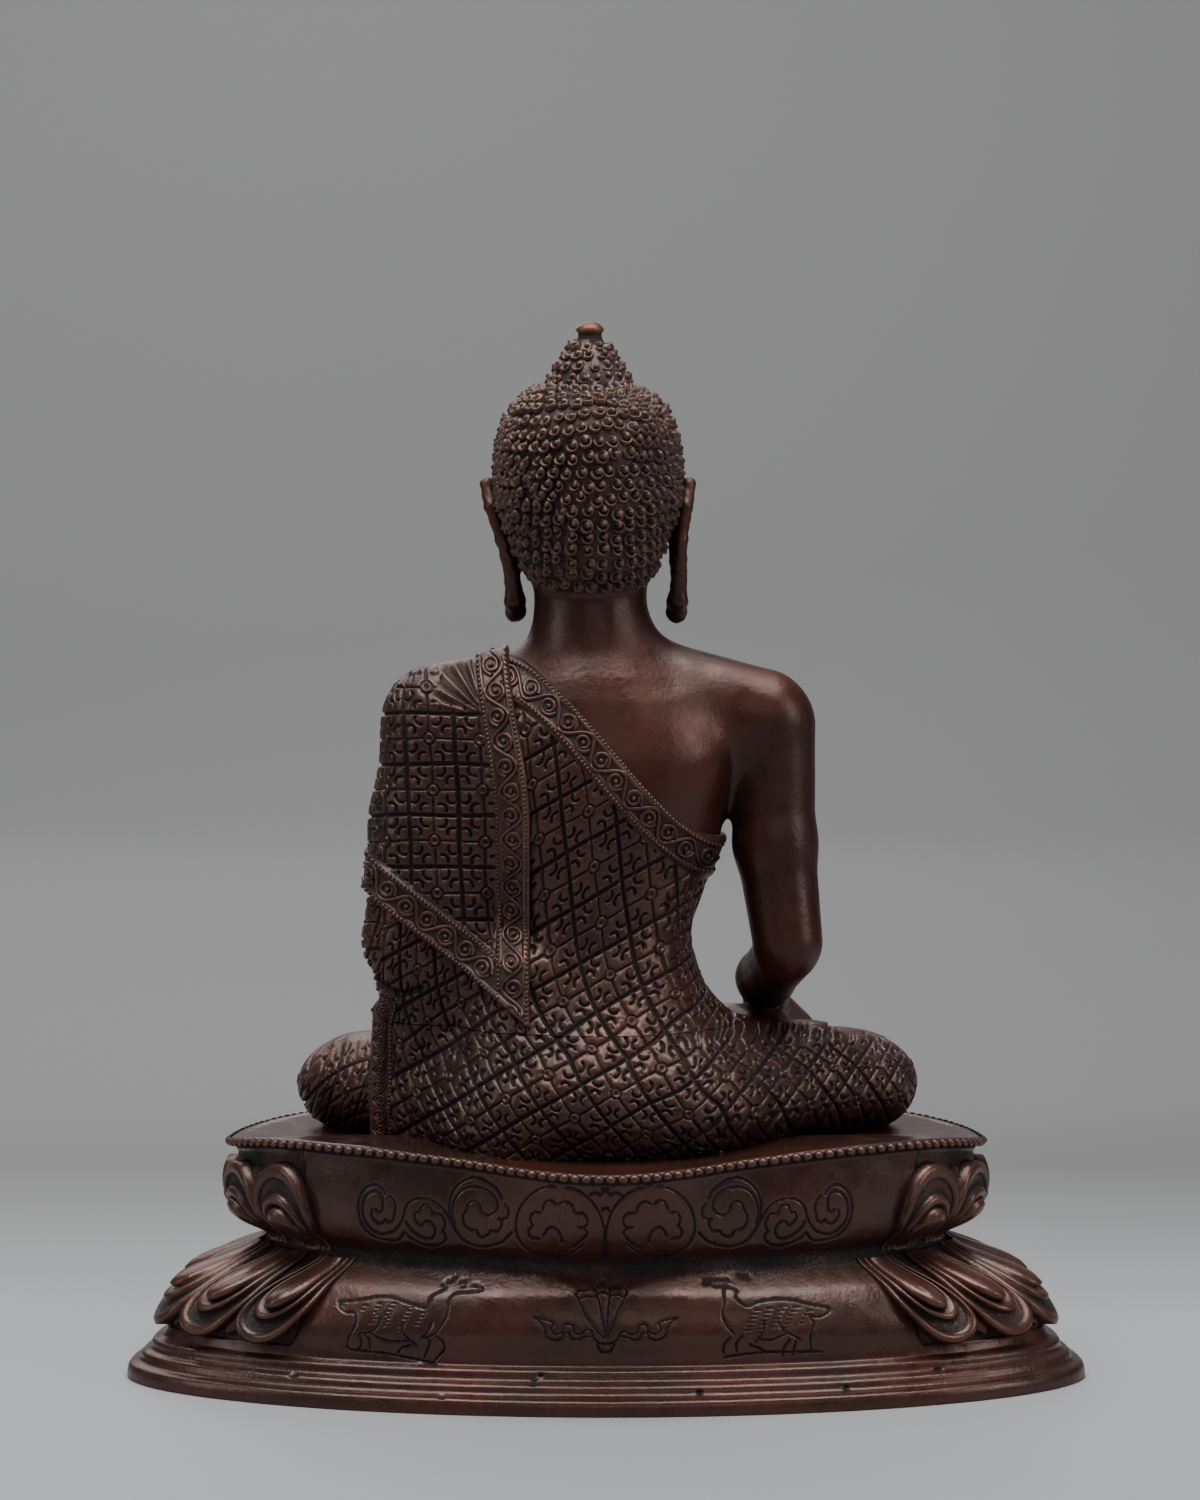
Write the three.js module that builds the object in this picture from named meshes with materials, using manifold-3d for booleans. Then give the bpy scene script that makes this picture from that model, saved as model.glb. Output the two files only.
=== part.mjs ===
// A seated figure in the earth-touching pose, on its double lotus plinth, both cast in copper.
// Millimetres, +Z up. The figure faces -Y, so its right hand is on the -X side.
// The origin is under the middle of the plinth.
import * as THREE from "three";
import { mergeVertices } from "three/addons/utils/BufferGeometryUtils.js";
import Module from "manifold-3d";

const wasm = await Module();
wasm.setup();

// Driving dimensions
const PLINTH_TOP = 67; // height of the seat on the plinth
const SEAT_GAP = 0.3; // the figure rests on the plinth with this gap
const MIDDLE_SHIFT = 13.5; // moves the model so that the plinth is centred on the origin
const HEAD_X = 5.4; // the head leans this far to the figure's left
const CLOTH = 1.1; // thickness of the robe over the body
const HEM = 0.9; // height of the carved borders over the robe
const GRID = 1.7; // cell of the grid that the figure is polygonised on
const FIGURE_FACES = 5700;
const PLINTH_FACES = 4200;
const CURL_COLUMNS = 60; // two for each curl of a row
const CURL_ROWS = 13;
const PETALS = 19; // petals of each lotus tier, round the front and sides
const PLINTH_COLUMNS = 48;
const BEAD_PITCH = 3.4; // the row of beads round the plinth's rim
const NECK_BORDER = 9.8; // width of the carved border along the robe's upper edge
const FLAP_BORDER = 9.8; // width of the border round the end that hangs over the shoulder

// Field helpers: each returns a function of x, y, z that is negative inside
const clamp = (v, lo, hi) => Math.min(Math.max(v, lo), hi);
const mix = (a, b, t) => a + (b - a) * t;
const length = (x, y, z = 0) => Math.sqrt(x * x + y * y + z * z);
const smooth = (v) => {
  const t = clamp(v, 0, 1);
  return t * t * (3 - 2 * t);
};
const softMin = (a, b, k) => {
  const h = Math.max(k - Math.abs(a - b), 0) / k;
  return Math.min(a, b) - (h * h * k) / 4;
};
const softMax = (a, b, k) => -softMin(-a, -b, k);

// A value read from rows of [height, value, value ...], smoothly between the rows
function readRows(rows, z, column) {
  const last = rows.length - 1;
  if (z <= rows[0][0]) return rows[0][column];
  if (z >= rows[last][0]) return rows[last][column];
  let i = 0;
  while (z > rows[i + 1][0]) i++;
  const [p0, p1, p2, p3] = [i - 1, i, i + 1, i + 2].map((n) => rows[clamp(n, 0, last)]);
  const t = (z - p1[0]) / (p2[0] - p1[0]);
  const slope = (a, b, c) => (b[0] === a[0] ? 0 : ((b[column] - a[column]) / (b[0] - a[0])) * (c[0] - p1[0]));
  const m1 = slope(p0, p2, p2);
  const m2 = slope(p1, p3, p2);
  const t2 = t * t;
  const t3 = t2 * t;
  const [v1, v2] = [p1[column], p2[column]];
  return (2 * t3 - 3 * t2 + 1) * v1 + (t3 - 2 * t2 + t) * m1 + (-2 * t3 + 3 * t2) * v2 + (t3 - t2) * m2;
}

// A limb from a to b whose radius runs from ra to rb; stretch scales the space first, which flattens it
function limb(a, b, ra, rb, stretch = [1, 1, 1]) {
  const [sx, sy, sz] = stretch;
  const [ax, ay, az] = [a[0] * sx, a[1] * sy, a[2] * sz];
  const [bx, by, bz] = [b[0] * sx - ax, b[1] * sy - ay, b[2] * sz - az];
  const length2 = bx * bx + by * by + bz * bz;
  const least = 1 / Math.max(sx, sy, sz);
  return (x, y, z) => {
    const [px, py, pz] = [x * sx - ax, y * sy - ay, z * sz - az];
    const t = clamp((px * bx + py * by + pz * bz) / length2, 0, 1);
    return (length(px - bx * t, py - by * t, pz - bz * t) - mix(ra, rb, t)) * least;
  };
}

// A ball with three radii; roundness 2 is an ellipsoid and more is boxier from top to bottom
function ball(c, r, roundness = 2) {
  const least = Math.min(...r);
  return (x, y, z) => {
    const level = length((x - c[0]) / r[0], (y - c[1]) / r[1]);
    const up = Math.abs((z - c[2]) / r[2]);
    if (roundness === 2) return (length(level, up) - 1) * least;
    return ((level ** roundness + up ** roundness) ** (1 / roundness) - 1) * least;
  };
}

// Several fields joined with one softness
const joined = (fields, k) => (x, y, z) => {
  let d = fields[0](x, y, z);
  for (let i = 1; i < fields.length; i++) d = softMin(d, fields[i](x, y, z), k);
  return d;
};

// A run of limbs through [x, y, z, radius] points
const chain = (points, k = 2, stretch = [1, 1, 1]) =>
  joined(
    points.slice(1).map((b, i) => limb(points[i], b, points[i][3], b[3], stretch)),
    k,
  );

const mirrored = (field, centre = 0) => (x, y, z) => field(2 * centre - x, y, z);

// The torso: [height, middle x, half width, back y, front y]
const TORSO = [
  [88, 1, 37, 50, -18],
  [100, 1, 34, 45, -20],
  [110, 1.5, 31.5, 41, -21],
  [121, 2, 28, 36.5, -21],
  [131, 2.4, 26.6, 33.5, -21],
  [140, 2.5, 29.2, 33, -21.5],
  [148, 2.6, 32.4, 33.5, -22],
  [158, 2.8, 36.4, 34.5, -23],
  [172, 3, 39.5, 36, -24],
  [186, 3, 42, 35, -21],
  [200, 3, 34, 30, -13],
  [210, 3.5, 22, 24, -7],
];
function torso(x, y, z) {
  const [cx, half, back, front] = [1, 2, 3, 4].map((c) => readRows(TORSO, z, c));
  const deep = (back - front) / 2;
  const round = length((x - cx) / half, (y - (back + front) / 2) / deep) - 1;
  const over = Math.max(z - 205, 85 - z);
  return softMax(round * Math.min(half, deep), over, 6);
}

// The crossed legs, flatter than they are deep, with cloth filling the space under the upper shin.
// More cloth hangs beside them on the left.
const THIGH_FLAT = [1, 1, 1.55];
const SHIN_FLAT = [1, 1, 1.4];
const thighs = joined(
  [
    limb([22, 20, 81], [70, -27, 79.5], 25, 20.5, THIGH_FLAT),
    limb([-22, 20, 81], [-70, -27, 79.5], 25, 20.5, THIGH_FLAT),
    ball([0, 8, 82], [48, 47, 27]),
  ],
  9,
);
const shins = joined(
  [
    limb([70, -29, 79], [-12, -54, 76], 19.5, 13, SHIN_FLAT),
    limb([-70, -29, 79], [12, -60, 82.5], 19.5, 13, SHIN_FLAT),
    limb([-62, -34, 71], [6, -54, 71], 16, 14, SHIN_FLAT),
  ],
  1.5,
);
const legs = joined([thighs, shins], 7);
const drape = joined(
  [
    limb([50.5, 4, 111], [48.5, 4, 73], 16, 18),
    limb([22, 20, 114], [22, 24, 74], 16, 27),
    limb([37, 6, 186], [43, 7, 122], 16, 15),
  ],
  12,
);
const leftArm = chain([
  [49.5, 5, 191.5, 13.8],
  [54.5, 7, 164, 13.6],
  [58.5, 10, 128, 12.6],
  [44, -18, 118, 11.5],
  [27, -38, 110, 10],
]);
const shoulders = joined(
  [limb([-4, 6, 207.5], [-46, 4, 196.5], 13, 12.4), limb([12, 6, 204], [49, 5, 193.5], 13.5, 13.4)],
  4,
);
const clothed = (x, y, z) => {
  let d = softMin(torso(x, y, z), legs(x, y, z), 12);
  d = softMin(d, shoulders(x, y, z), 10);
  d = softMin(d, drape(x, y, z), 5);
  return softMin(d, leftArm(x, y, z), 8);
};

// The robe's upper edge runs from the left of the neck to the right armpit
const neckline = (x) => 159.8 + 55.2 * smooth((x + 36) / 70);
const underNeckline = (x, z) => (neckline(x) - z) * 0.72;
// The end of the robe hangs over the left shoulder down to a point behind, and falls lower in front
const flapEdge = (z) => 22.4 + 6.7 * smooth((z - 165) / 55);
const insideFlap = (x, y, z) => {
  const end = 108.9 + (x - 26) * 0.765 - 2.4 * Math.max(-5 - y, 0);
  return Math.min(x - flapEdge(z), (z - end) * 0.79);
};
const band = (distance, width) => smooth((distance + 0.4) / 1.4) * smooth((width - distance + 0.4) / 1.4);

// How far the cloth stands over the body
function clothOver(x, y, z) {
  const inFlap = insideFlap(x, y, z);
  const covered = Math.max(underNeckline(x, z), inFlap);
  let over = CLOTH * smooth((covered + 0.7) / 1.4);
  over += CLOTH * smooth((inFlap + 0.7) / 1.4);
  const neckRim = inFlap < 0 ? band(underNeckline(x, z), NECK_BORDER) : 0;
  const flapRim = z > 100 ? band(inFlap, FLAP_BORDER) : 0;
  return over + HEM * Math.max(neckRim, flapRim);
}

// Neck, head and face
const H = HEAD_X;
const neck = chain(
  [
    [3.5, 6, 204, 20],
    [4.4, 3.5, 219, 16.4],
    [4.8, 2, 240, 17],
  ],
  4,
);
const skull = ball([H, 0.5, 263], [26.8, 31.5, 28.3], 2.9);
const nape = ball([H - 1, 7, 243], [18.5, 20, 13]);
const both = (field) => joined([field, mirrored(field, H)], 0.5);
const face = joined([ball([H, -9, 247], [21.5, 20.5, 20.5]), ball([H, -22.5, 232.8], [7, 6, 5.5])], 6);
const nose = chain(
  [
    [H, -29.5, 259, 1.6],
    [H, -33.2, 250.5, 2.3],
    [H, -33.6, 248.3, 3],
  ],
  2,
);
const nostrils = both(ball([H + 2.9, -31, 247.3], [2, 2.6, 1.9]));
const eyeHollows = both(ball([H + 9.8, -34, 256], [7, 4.6, 3.6]));
const eyes = both(ball([H + 9.4, -25.6, 254.6], [6, 5.2, 4]));
const brows = both(
  chain(
    [
      [H + 3, -29.3, 259, 1.2],
      [H + 9, -29.4, 262, 1.3],
      [H + 17, -24.6, 259.5, 1],
    ],
    1.5,
  ),
);
const lips = joined(
  [
    chain(
      [
        [H - 6, -27.6, 240.6, 0.8],
        [H, -30, 241, 1.7],
        [H + 6, -27.6, 240.6, 0.8],
      ],
      1,
    ),
    chain(
      [
        [H - 5, -27.4, 239.4, 0.8],
        [H, -29.2, 238.2, 2],
        [H + 5, -27.4, 239.4, 0.8],
      ],
      1,
    ),
  ],
  0.6,
);
// A long pierced ear stands out from the side of the head; the right lobe hangs further out
const ear = (side, out) => {
  const at = (x, y, z, r) => [H + side * (x + out * smooth((262 - z) / 30)), y, z, r];
  return joined(
    [
      chain(
        [
          at(25, -5, 252, 1.8),
          at(28.5, -4, 260, 1.9),
          at(30, 1, 263.5, 2),
          at(28.8, 5, 257, 2),
          at(25.5, 5.5, 247, 2),
          at(23.2, 3, 237, 2.2),
          at(22.4, 1, 229, 2.7),
          at(22.2, -1.5, 225.5, 2.6),
          at(22.4, -4.5, 230, 2.2),
          at(23.4, -5, 240, 2),
        ],
        1,
      ),
      limb(at(26, 0, 259), at(22.8, 0, 238), 3.6, 3, [1.3, 0.7, 1]),
    ],
    1,
  );
};
const ears = joined([ear(1, 0), ear(-1, 3)], 0.5);
const head = (x, y, z) => {
  let d = softMin(softMin(skull(x, y, z), nape(x, y, z), 5), face(x, y, z), 5);
  d = softMax(d, -eyeHollows(x, y, z), 3);
  d = softMin(d, eyes(x, y, z), 0.8);
  d = softMin(d, brows(x, y, z), 1.5);
  d = softMin(d, joined([nose, nostrils], 1)(x, y, z), 2.2);
  d = softMin(d, lips(x, y, z), 1);
  return softMin(d, ears(x, y, z), 1.2);
};

// Right arm, with the hand over the knee and the fingertips reaching for the ground
const rightArm = chain(
  [
    [-49.3, 4, 191.5, 13],
    [-50.4, 7, 157, 11.9],
    [-54, 12, 123, 10.2],
  ],
  4,
);
const rightForearm = chain(
  [
    [-53.5, 11, 120.5, 9.6],
    [-53, -14, 110.5, 8.6],
    [-55, -44, 101, 6.2],
  ],
  3,
);
const rightHand = joined(
  [
    limb([-55, -46, 100], [-57, -62, 93], 6.4, 7.2, [0.85, 1, 1.3]),
    ...[-1.5, -0.5, 0.5, 1.5].map((n) =>
      chain(
        [
          [-57 + n * 3.9, -66, 93, 2.6],
          [-58 + n * 4, -74 + Math.abs(n), 85, 2.3],
          [-58.5 + n * 3.7, -77 + Math.abs(n) * 1.5, 72 + Math.abs(n) * 1.2, 1.8],
        ],
        1,
      ),
    ),
    chain(
      [
        [-50, -52, 99, 2.8],
        [-46, -62, 93, 2.5],
        [-45.5, -69, 85, 2],
      ],
      1,
    ),
  ],
  1.6,
);

// Left hand, palm up in the lap
const leftHand = joined(
  [
    limb([24, -40, 110], [2, -46, 108], 6, 8, [1, 0.9, 1.6]),
    ...[-1.5, -0.5, 0.5, 1.5].map((n) =>
      chain(
        [
          [-4, -46 + n * 4.1, 108.5, 2.6],
          [-15, -44 + n * 3.9, 109.5, 2.3],
          [-25 + Math.abs(n) * 2, -42 + n * 3.6, 109.5, 1.8],
        ],
        1,
      ),
    ),
    chain(
      [
        [10, -51, 112, 2.9],
        [2, -56, 114, 2.5],
        [-5, -55, 115.5, 1.9],
      ],
      1,
    ),
  ],
  1.5,
);

// A foot lies on the opposite thigh with its sole up and its toes outward
const foot = (side, lift) =>
  joined(
    [
      limb([side * 8, -48, 92 + lift], [side * 22, -33, 97 + lift], 8.5, 8.2, [1, 1, 1.3]),
      limb([side * 22, -33, 97 + lift], [side * 47, -15, 97.5 + lift], 8, 9.4, [1, 1, 1.5]),
      ...[0, 1, 2, 3, 4].map((n) =>
        limb(
          [side * (51 - n * 0.6), -7.5 - n * 4.2, 98 + lift],
          [side * (59 - n * 1.2), -5 - n * 4.6, 96.5 + lift],
          n === 4 ? 3.4 : 2.6,
          n === 4 ? 3.2 : 2.3,
        ),
      ),
    ],
    1.5,
  );
const leftFoot = foot(-1, 0);
const rightFoot = foot(1, 0.8);

// The whole figure, cut flat where it rests on the plinth
function figureField(x, y, z) {
  let d = clothed(x, y, z) - clothOver(x, y, z);
  d = softMin(d, rightArm(x, y, z), 6);
  d = softMin(d, joined([rightForearm, rightHand], 2)(x, y, z), 1.5);
  d = softMin(d, softMin(neck(x, y, z), head(x, y, z), 2.5), 10);
  d = softMin(d, leftHand(x, y, z), 1.2);
  d = softMin(d, leftFoot(x, y, z), 1);
  d = softMin(d, rightFoot(x, y, z), 1);
  return Math.max(d, PLINTH_TOP + SEAT_GAP - z);
}

// Visits a box of the grid from one corner up to the other, in steps
function eachCell(from, to, step, visit) {
  for (let k = from[2]; k < to[2]; k += step) {
    for (let j = from[1]; j < to[1]; j += step) {
      for (let i = from[0]; i < to[0]; i += step) visit(i, j, k);
    }
  }
}

// Marching tetrahedra: the surface where the field is zero, as points and triangles
function polygonise(field, low, high, cell) {
  const n = low.map((v, i) => Math.ceil((high[i] - v) / cell) + 1);
  const at = (i, j, k) => (k * n[1] + j) * n[0] + i;
  const values = new Float64Array(n[0] * n[1] * n[2]);
  const place = (i, j, k) => [low[0] + i * cell, low[1] + j * cell, low[2] + k * cell];
  // Blocks of the grid that lie well away from the surface take one value
  const block = 4;
  const far = block * cell * 1.6 + 3;
  eachCell([0, 0, 0], n, block, (i, j, k) => {
    const middle = field(...place(i + block / 2, j + block / 2, k + block / 2));
    const end = [i + block, j + block, k + block].map((v, axis) => Math.min(v, n[axis]));
    eachCell([i, j, k], end, 1, (a, b, c) => {
      const d = Math.abs(middle) > far ? middle : field(...place(a, b, c));
      values[at(a, b, c)] = Math.abs(d) < 1e-6 ? 1e-6 : d;
    });
  });
  const points = [];
  const triangles = [];
  const known = new Map();
  const placeOf = (g) => place(g % n[0], Math.floor(g / n[0]) % n[1], Math.floor(g / (n[0] * n[1])));
  const crossing = (a, b) => {
    const [lo, hi] = a < b ? [a, b] : [b, a];
    const key = lo * values.length + hi;
    if (!known.has(key)) {
      const t = clamp(values[lo] / (values[lo] - values[hi]), 0.02, 0.98);
      const [p, q] = [placeOf(lo), placeOf(hi)];
      known.set(key, points.length);
      points.push(p.map((v, i) => mix(v, q[i], t)));
    }
    return known.get(key);
  };
  const corners = [0, 1, 2, 3, 4, 5, 6, 7].map((c) => at(c & 1, (c >> 1) & 1, c >> 2));
  const tets = [
    [0, 1, 3, 7],
    [0, 3, 2, 7],
    [0, 2, 6, 7],
    [0, 6, 4, 7],
    [0, 4, 5, 7],
    [0, 5, 1, 7],
  ];
  const cutTet = (g) => {
    const ins = g.filter((v) => values[v] < 0);
    const outs = g.filter((v) => values[v] >= 0);
    if (!ins.length || !outs.length) return;
    // The parity of the inside corners' order tells which way the faces turn
    const order = [...ins, ...outs].map((v) => g.indexOf(v));
    let swaps = 0;
    order.forEach((v, a) => {
      swaps += order.slice(a + 1).filter((w) => v > w).length;
    });
    const turn = (a, b, c) => triangles.push(swaps % 2 ? [a, c, b] : [a, b, c]);
    if (ins.length === 1) {
      turn(...outs.map((o) => crossing(ins[0], o)));
    } else if (ins.length === 3) {
      turn(...ins.map((o) => crossing(o, outs[0])));
    } else {
      const [a, b, c, e] = [
        crossing(ins[0], outs[0]),
        crossing(ins[0], outs[1]),
        crossing(ins[1], outs[1]),
        crossing(ins[1], outs[0]),
      ];
      turn(a, b, c);
      turn(a, c, e);
    }
  };
  const lastCell = n.map((v) => v - 1);
  eachCell([0, 0, 0], lastCell, 1, (i, j, k) => {
    const base = at(i, j, k);
    const inside = corners.filter((c) => values[base + c] < 0).length;
    if (inside === 0 || inside === 8) return;
    for (const tet of tets) cutTet(tet.map((c) => base + corners[c]));
  });
  return { points, triangles };
}

// Quadric thinning: joins the ends of the edges that change the surface least
function thin({ points, triangles }, target) {
  const quadrics = points.map(() => new Float64Array(10));
  const around = points.map(() => new Set());
  const faces = triangles.map((t) => [...t]);
  const alive = new Uint8Array(faces.length).fill(1);
  const normalOf = (a, b, c) => {
    const [ux, uy, uz] = [b[0] - a[0], b[1] - a[1], b[2] - a[2]];
    const [vx, vy, vz] = [c[0] - a[0], c[1] - a[1], c[2] - a[2]];
    return [uy * vz - uz * vy, uz * vx - ux * vz, ux * vy - uy * vx];
  };
  faces.forEach((f, id) => {
    const [a, b, c] = f.map((v) => points[v]);
    const m = normalOf(a, b, c);
    const area = length(...m) || 1e-12;
    const [x, y, z] = m.map((v) => v / area);
    const w = -(x * a[0] + y * a[1] + z * a[2]);
    const q = [x * x, x * y, x * z, x * w, y * y, y * z, y * w, z * z, z * w, w * w];
    for (const v of f) {
      around[v].add(id);
      for (let i = 0; i < 10; i++) quadrics[v][i] += q[i] * area;
    }
  });
  const errorAt = (q, [x, y, z]) =>
    q[0] * x * x + 2 * q[1] * x * y + 2 * q[2] * x * z + 2 * q[3] * x + q[4] * y * y +
    2 * q[5] * y * z + 2 * q[6] * y + q[7] * z * z + 2 * q[8] * z + q[9];
  const best = (a, b) => {
    const q = quadrics[a].map((v, i) => v + quadrics[b][i]);
    const [p, r] = [points[a], points[b]];
    const options = [p, r, p.map((v, i) => (v + r[i]) / 2)];
    let det = q[0] * (q[4] * q[7] - q[5] * q[5]);
    det -= q[1] * (q[1] * q[7] - q[5] * q[2]);
    det += q[2] * (q[1] * q[5] - q[4] * q[2]);
    if (Math.abs(det) > 1e-3) {
      const solve = (c0, c1, c2) => (c0 * q[3] + c1 * q[6] + c2 * q[8]) / -det;
      const found = [
        solve(q[4] * q[7] - q[5] * q[5], q[2] * q[5] - q[1] * q[7], q[1] * q[5] - q[2] * q[4]),
        solve(q[2] * q[5] - q[1] * q[7], q[0] * q[7] - q[2] * q[2], q[1] * q[2] - q[0] * q[5]),
        solve(q[1] * q[5] - q[2] * q[4], q[1] * q[2] - q[0] * q[5], q[0] * q[4] - q[1] * q[1]),
      ];
      const middle = options[2];
      const reach = length(p[0] - r[0], p[1] - r[1], p[2] - r[2]);
      if (length(...found.map((v, i) => v - middle[i])) < 1.5 * reach) options.push(found);
    }
    let [cost, place] = [Infinity, null];
    for (const o of options) {
      const e = errorAt(q, o);
      if (e < cost) [cost, place] = [e, o];
    }
    const apart = length(p[0] - r[0], p[1] - r[1], p[2] - r[2]);
    return [Math.max(cost, 0) + 1e-5 * apart * apart, place];
  };
  const stamp = new Uint32Array(points.length);
  const heap = [];
  const push = (a, b) => {
    const [cost, place] = best(a, b);
    const entry = { cost, place, a, b, sa: stamp[a], sb: stamp[b] };
    let i = heap.push(entry) - 1;
    while (i > 0) {
      const up = (i - 1) >> 1;
      if (heap[up].cost <= cost) break;
      heap[i] = heap[up];
      i = up;
    }
    heap[i] = entry;
  };
  const pop = () => {
    const top = heap[0];
    const last = heap.pop();
    if (heap.length) {
      let i = 0;
      for (;;) {
        let down = 2 * i + 1;
        if (down >= heap.length) break;
        if (down + 1 < heap.length && heap[down + 1].cost < heap[down].cost) down++;
        if (heap[down].cost >= last.cost) break;
        heap[i] = heap[down];
        i = down;
      }
      heap[i] = last;
    }
    return top;
  };
  const neighbours = (v) => {
    const found = new Set();
    for (const f of around[v]) faces[f].forEach((w) => found.add(w));
    found.delete(v);
    return found;
  };
  for (const f of faces) {
    f.forEach((v, i) => {
      const next = f[(i + 1) % 3];
      if (v < next) push(v, next);
    });
  }
  let left = faces.length;
  while (left > target && heap.length) {
    const { place, a, b, sa, sb } = pop();
    if (sa !== stamp[a] || sb !== stamp[b] || !around[a].size || !around[b].size) continue;
    const [na, nb] = [neighbours(a), neighbours(b)];
    if ([...na].filter((v) => nb.has(v)).length !== 2) continue;
    const flips = (v, other) => {
      for (const id of around[v]) {
        const f = faces[id];
        if (f.includes(other)) continue;
        const before = normalOf(...f.map((w) => points[w]));
        const after = normalOf(...f.map((w) => (w === v ? place : points[w])));
        const dot = before[0] * after[0] + before[1] * after[1] + before[2] * after[2];
        if (dot < 0.3 * length(...before) * length(...after)) return true;
      }
      return false;
    };
    if (flips(a, b) || flips(b, a)) continue;
    for (const id of [...around[b]]) {
      if (faces[id].includes(a)) {
        alive[id] = 0;
        left--;
        for (const v of faces[id]) around[v].delete(id);
      } else {
        faces[id] = faces[id].map((v) => (v === b ? a : v));
        around[a].add(id);
      }
    }
    around[b].clear();
    points[a] = place;
    for (let i = 0; i < 10; i++) quadrics[a][i] += quadrics[b][i];
    stamp[a]++;
    stamp[b]++;
    for (const v of neighbours(a)) push(Math.min(a, v), Math.max(a, v));
  }
  return { points, triangles: faces.filter((_, id) => alive[id]) };
}

// Solids from points and triangles, and back to three.js geometry
function solidOf(mesh) {
  const { attributes, index } = geometryOf(mesh);
  const vertProperties = attributes.position.array;
  const triVerts = new Uint32Array(index.array);
  return new wasm.Manifold(new wasm.Mesh({ numProp: 3, vertProperties, triVerts }));
}
function meshOf(solid) {
  const { numProp, numVert, vertProperties, triVerts } = solid.getMesh();
  const three = (list, start) => [...list.slice(start, start + 3)];
  const points = Array.from({ length: numVert }, (_, i) => three(vertProperties, i * numProp));
  const triangles = Array.from({ length: triVerts.length / 3 }, (_, i) => three(triVerts, i * 3));
  return { points, triangles };
}
function geometryOf({ points, triangles }) {
  const geometry = new THREE.BufferGeometry();
  geometry.setAttribute("position", new THREE.Float32BufferAttribute(points.flat(), 3));
  geometry.setIndex(triangles.flat());
  const merged = mergeVertices(geometry.toNonIndexed(), 1e-4);
  merged.computeVertexNormals();
  return merged;
}

// A closed grid: rings of points from bottom to top, with a point that closes each end
function ringSolid(rings, bottom, top) {
  const points = [...rings.flat(), bottom, top];
  const n = rings[0].length;
  const triangles = [];
  rings.forEach((ring, r) => {
    for (let i = 0; i < n; i++) {
      const j = (i + 1) % n;
      const [a, b] = [r * n + i, r * n + j];
      if (r === 0) triangles.push([points.length - 2, b, a]);
      if (r === rings.length - 1) {
        triangles.push([points.length - 1, a, b]);
        continue;
      }
      const [c, d] = [a + n, b + n];
      if ((i + r) % 2) triangles.push([a, b, c], [b, d, c]);
      else triangles.push([a, b, d], [a, d, c]);
    }
  });
  return { points, triangles };
}

// The cap of snail-shell curls: every second point of a grid on the skull stands out
const CROWN = [H, 1, 262];
const hairline = (turn) => {
  // turn is 0 at the back and 1 at the face
  const line = mix(235, 250, smooth(turn / 0.5));
  return mix(line, 277, smooth((turn - 0.5) / 0.22));
};
function skullPoint(direction) {
  let [near, far] = [10, 50];
  for (let i = 0; i < 24; i++) {
    const r = (near + far) / 2;
    const p = CROWN.map((c, n) => c + direction[n] * r);
    if (softMin(softMin(skull(...p), nape(...p), 5), face(...p), 5) < 0) near = r;
    else far = r;
  }
  return near;
}
function curlCap() {
  const rings = [];
  for (let row = 0; row < CURL_ROWS; row++) {
    const tilt = THREE.MathUtils.degToRad(mix(139, 20, row / (CURL_ROWS - 1)));
    const ring = [];
    for (let i = 0; i < CURL_COLUMNS; i++) {
      const a = ((i + 0.5) / CURL_COLUMNS) * 2 * Math.PI;
      const direction = [Math.sin(tilt) * Math.cos(a), Math.sin(tilt) * Math.sin(a), Math.cos(tilt)];
      const skin = skullPoint(direction);
      const z = CROWN[2] + direction[2] * skin;
      const turn = Math.abs(Math.atan2(direction[0], direction[1])) / Math.PI;
      const hair = z > hairline(turn) ? ((i + row) % 2 ? 1.9 : 0.3) : -2.5;
      ring.push(CROWN.map((c, n) => c + direction[n] * (skin + hair)));
    }
    rings.push(ring);
  }
  return ringSolid(rings, [CROWN[0], CROWN[1], 240], [CROWN[0], CROWN[1], 294]);
}
// The topknot's tiers of curls and the plain bud above them
function topknot() {
  const columns = 32;
  const tiers = [
    [286, 11.5],
    [293.2, 11.7],
    [295.8, 12],
    [297.4, 11.1],
    [299, 11.3],
    [300.4, 8.5],
    [303.8, 8],
    [306, 4.4],
  ];
  const rings = tiers.map(([z, r], row) =>
    Array.from({ length: columns }, (_, i) => {
      const a = (i / columns) * 2 * Math.PI;
      const reach = r + (z > 290 && z < 305 ? ((i + row) % 2 ? 0.5 : -0.6) : 0);
      return [H - 0.4 + reach * Math.cos(a), 1 + reach * Math.sin(a), z];
    }),
  );
  return ringSolid(rings, [H - 0.4, 1, 285], [H - 0.4, 1, 306.2]);
}
function bud() {
  const profile = [
    [0, 300],
    [3.9, 300],
    [3.6, 306],
    [3.9, 308.2],
    [4.7, 309],
    [3.4, 310.8],
    [0, 311.9],
  ];
  const lathe = new THREE.LatheGeometry(profile.map(([r, z]) => new THREE.Vector2(r, z)), 14);
  lathe.rotateX(Math.PI / 2).translate(H - 0.6, 1, 0);
  lathe.deleteAttribute("normal");
  lathe.deleteAttribute("uv");
  const merged = mergeVertices(lathe, 1e-4);
  const p = merged.attributes.position;
  const points = Array.from({ length: p.count }, (_, i) => [p.getX(i), p.getY(i), p.getZ(i)]);
  const triangles = [];
  for (let i = 0; i < merged.index.count; i += 3) {
    const t = [0, 1, 2].map((n) => merged.index.getX(i + n));
    if (new Set(t).size === 3) triangles.push(t);
  }
  return { points, triangles };
}

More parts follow.
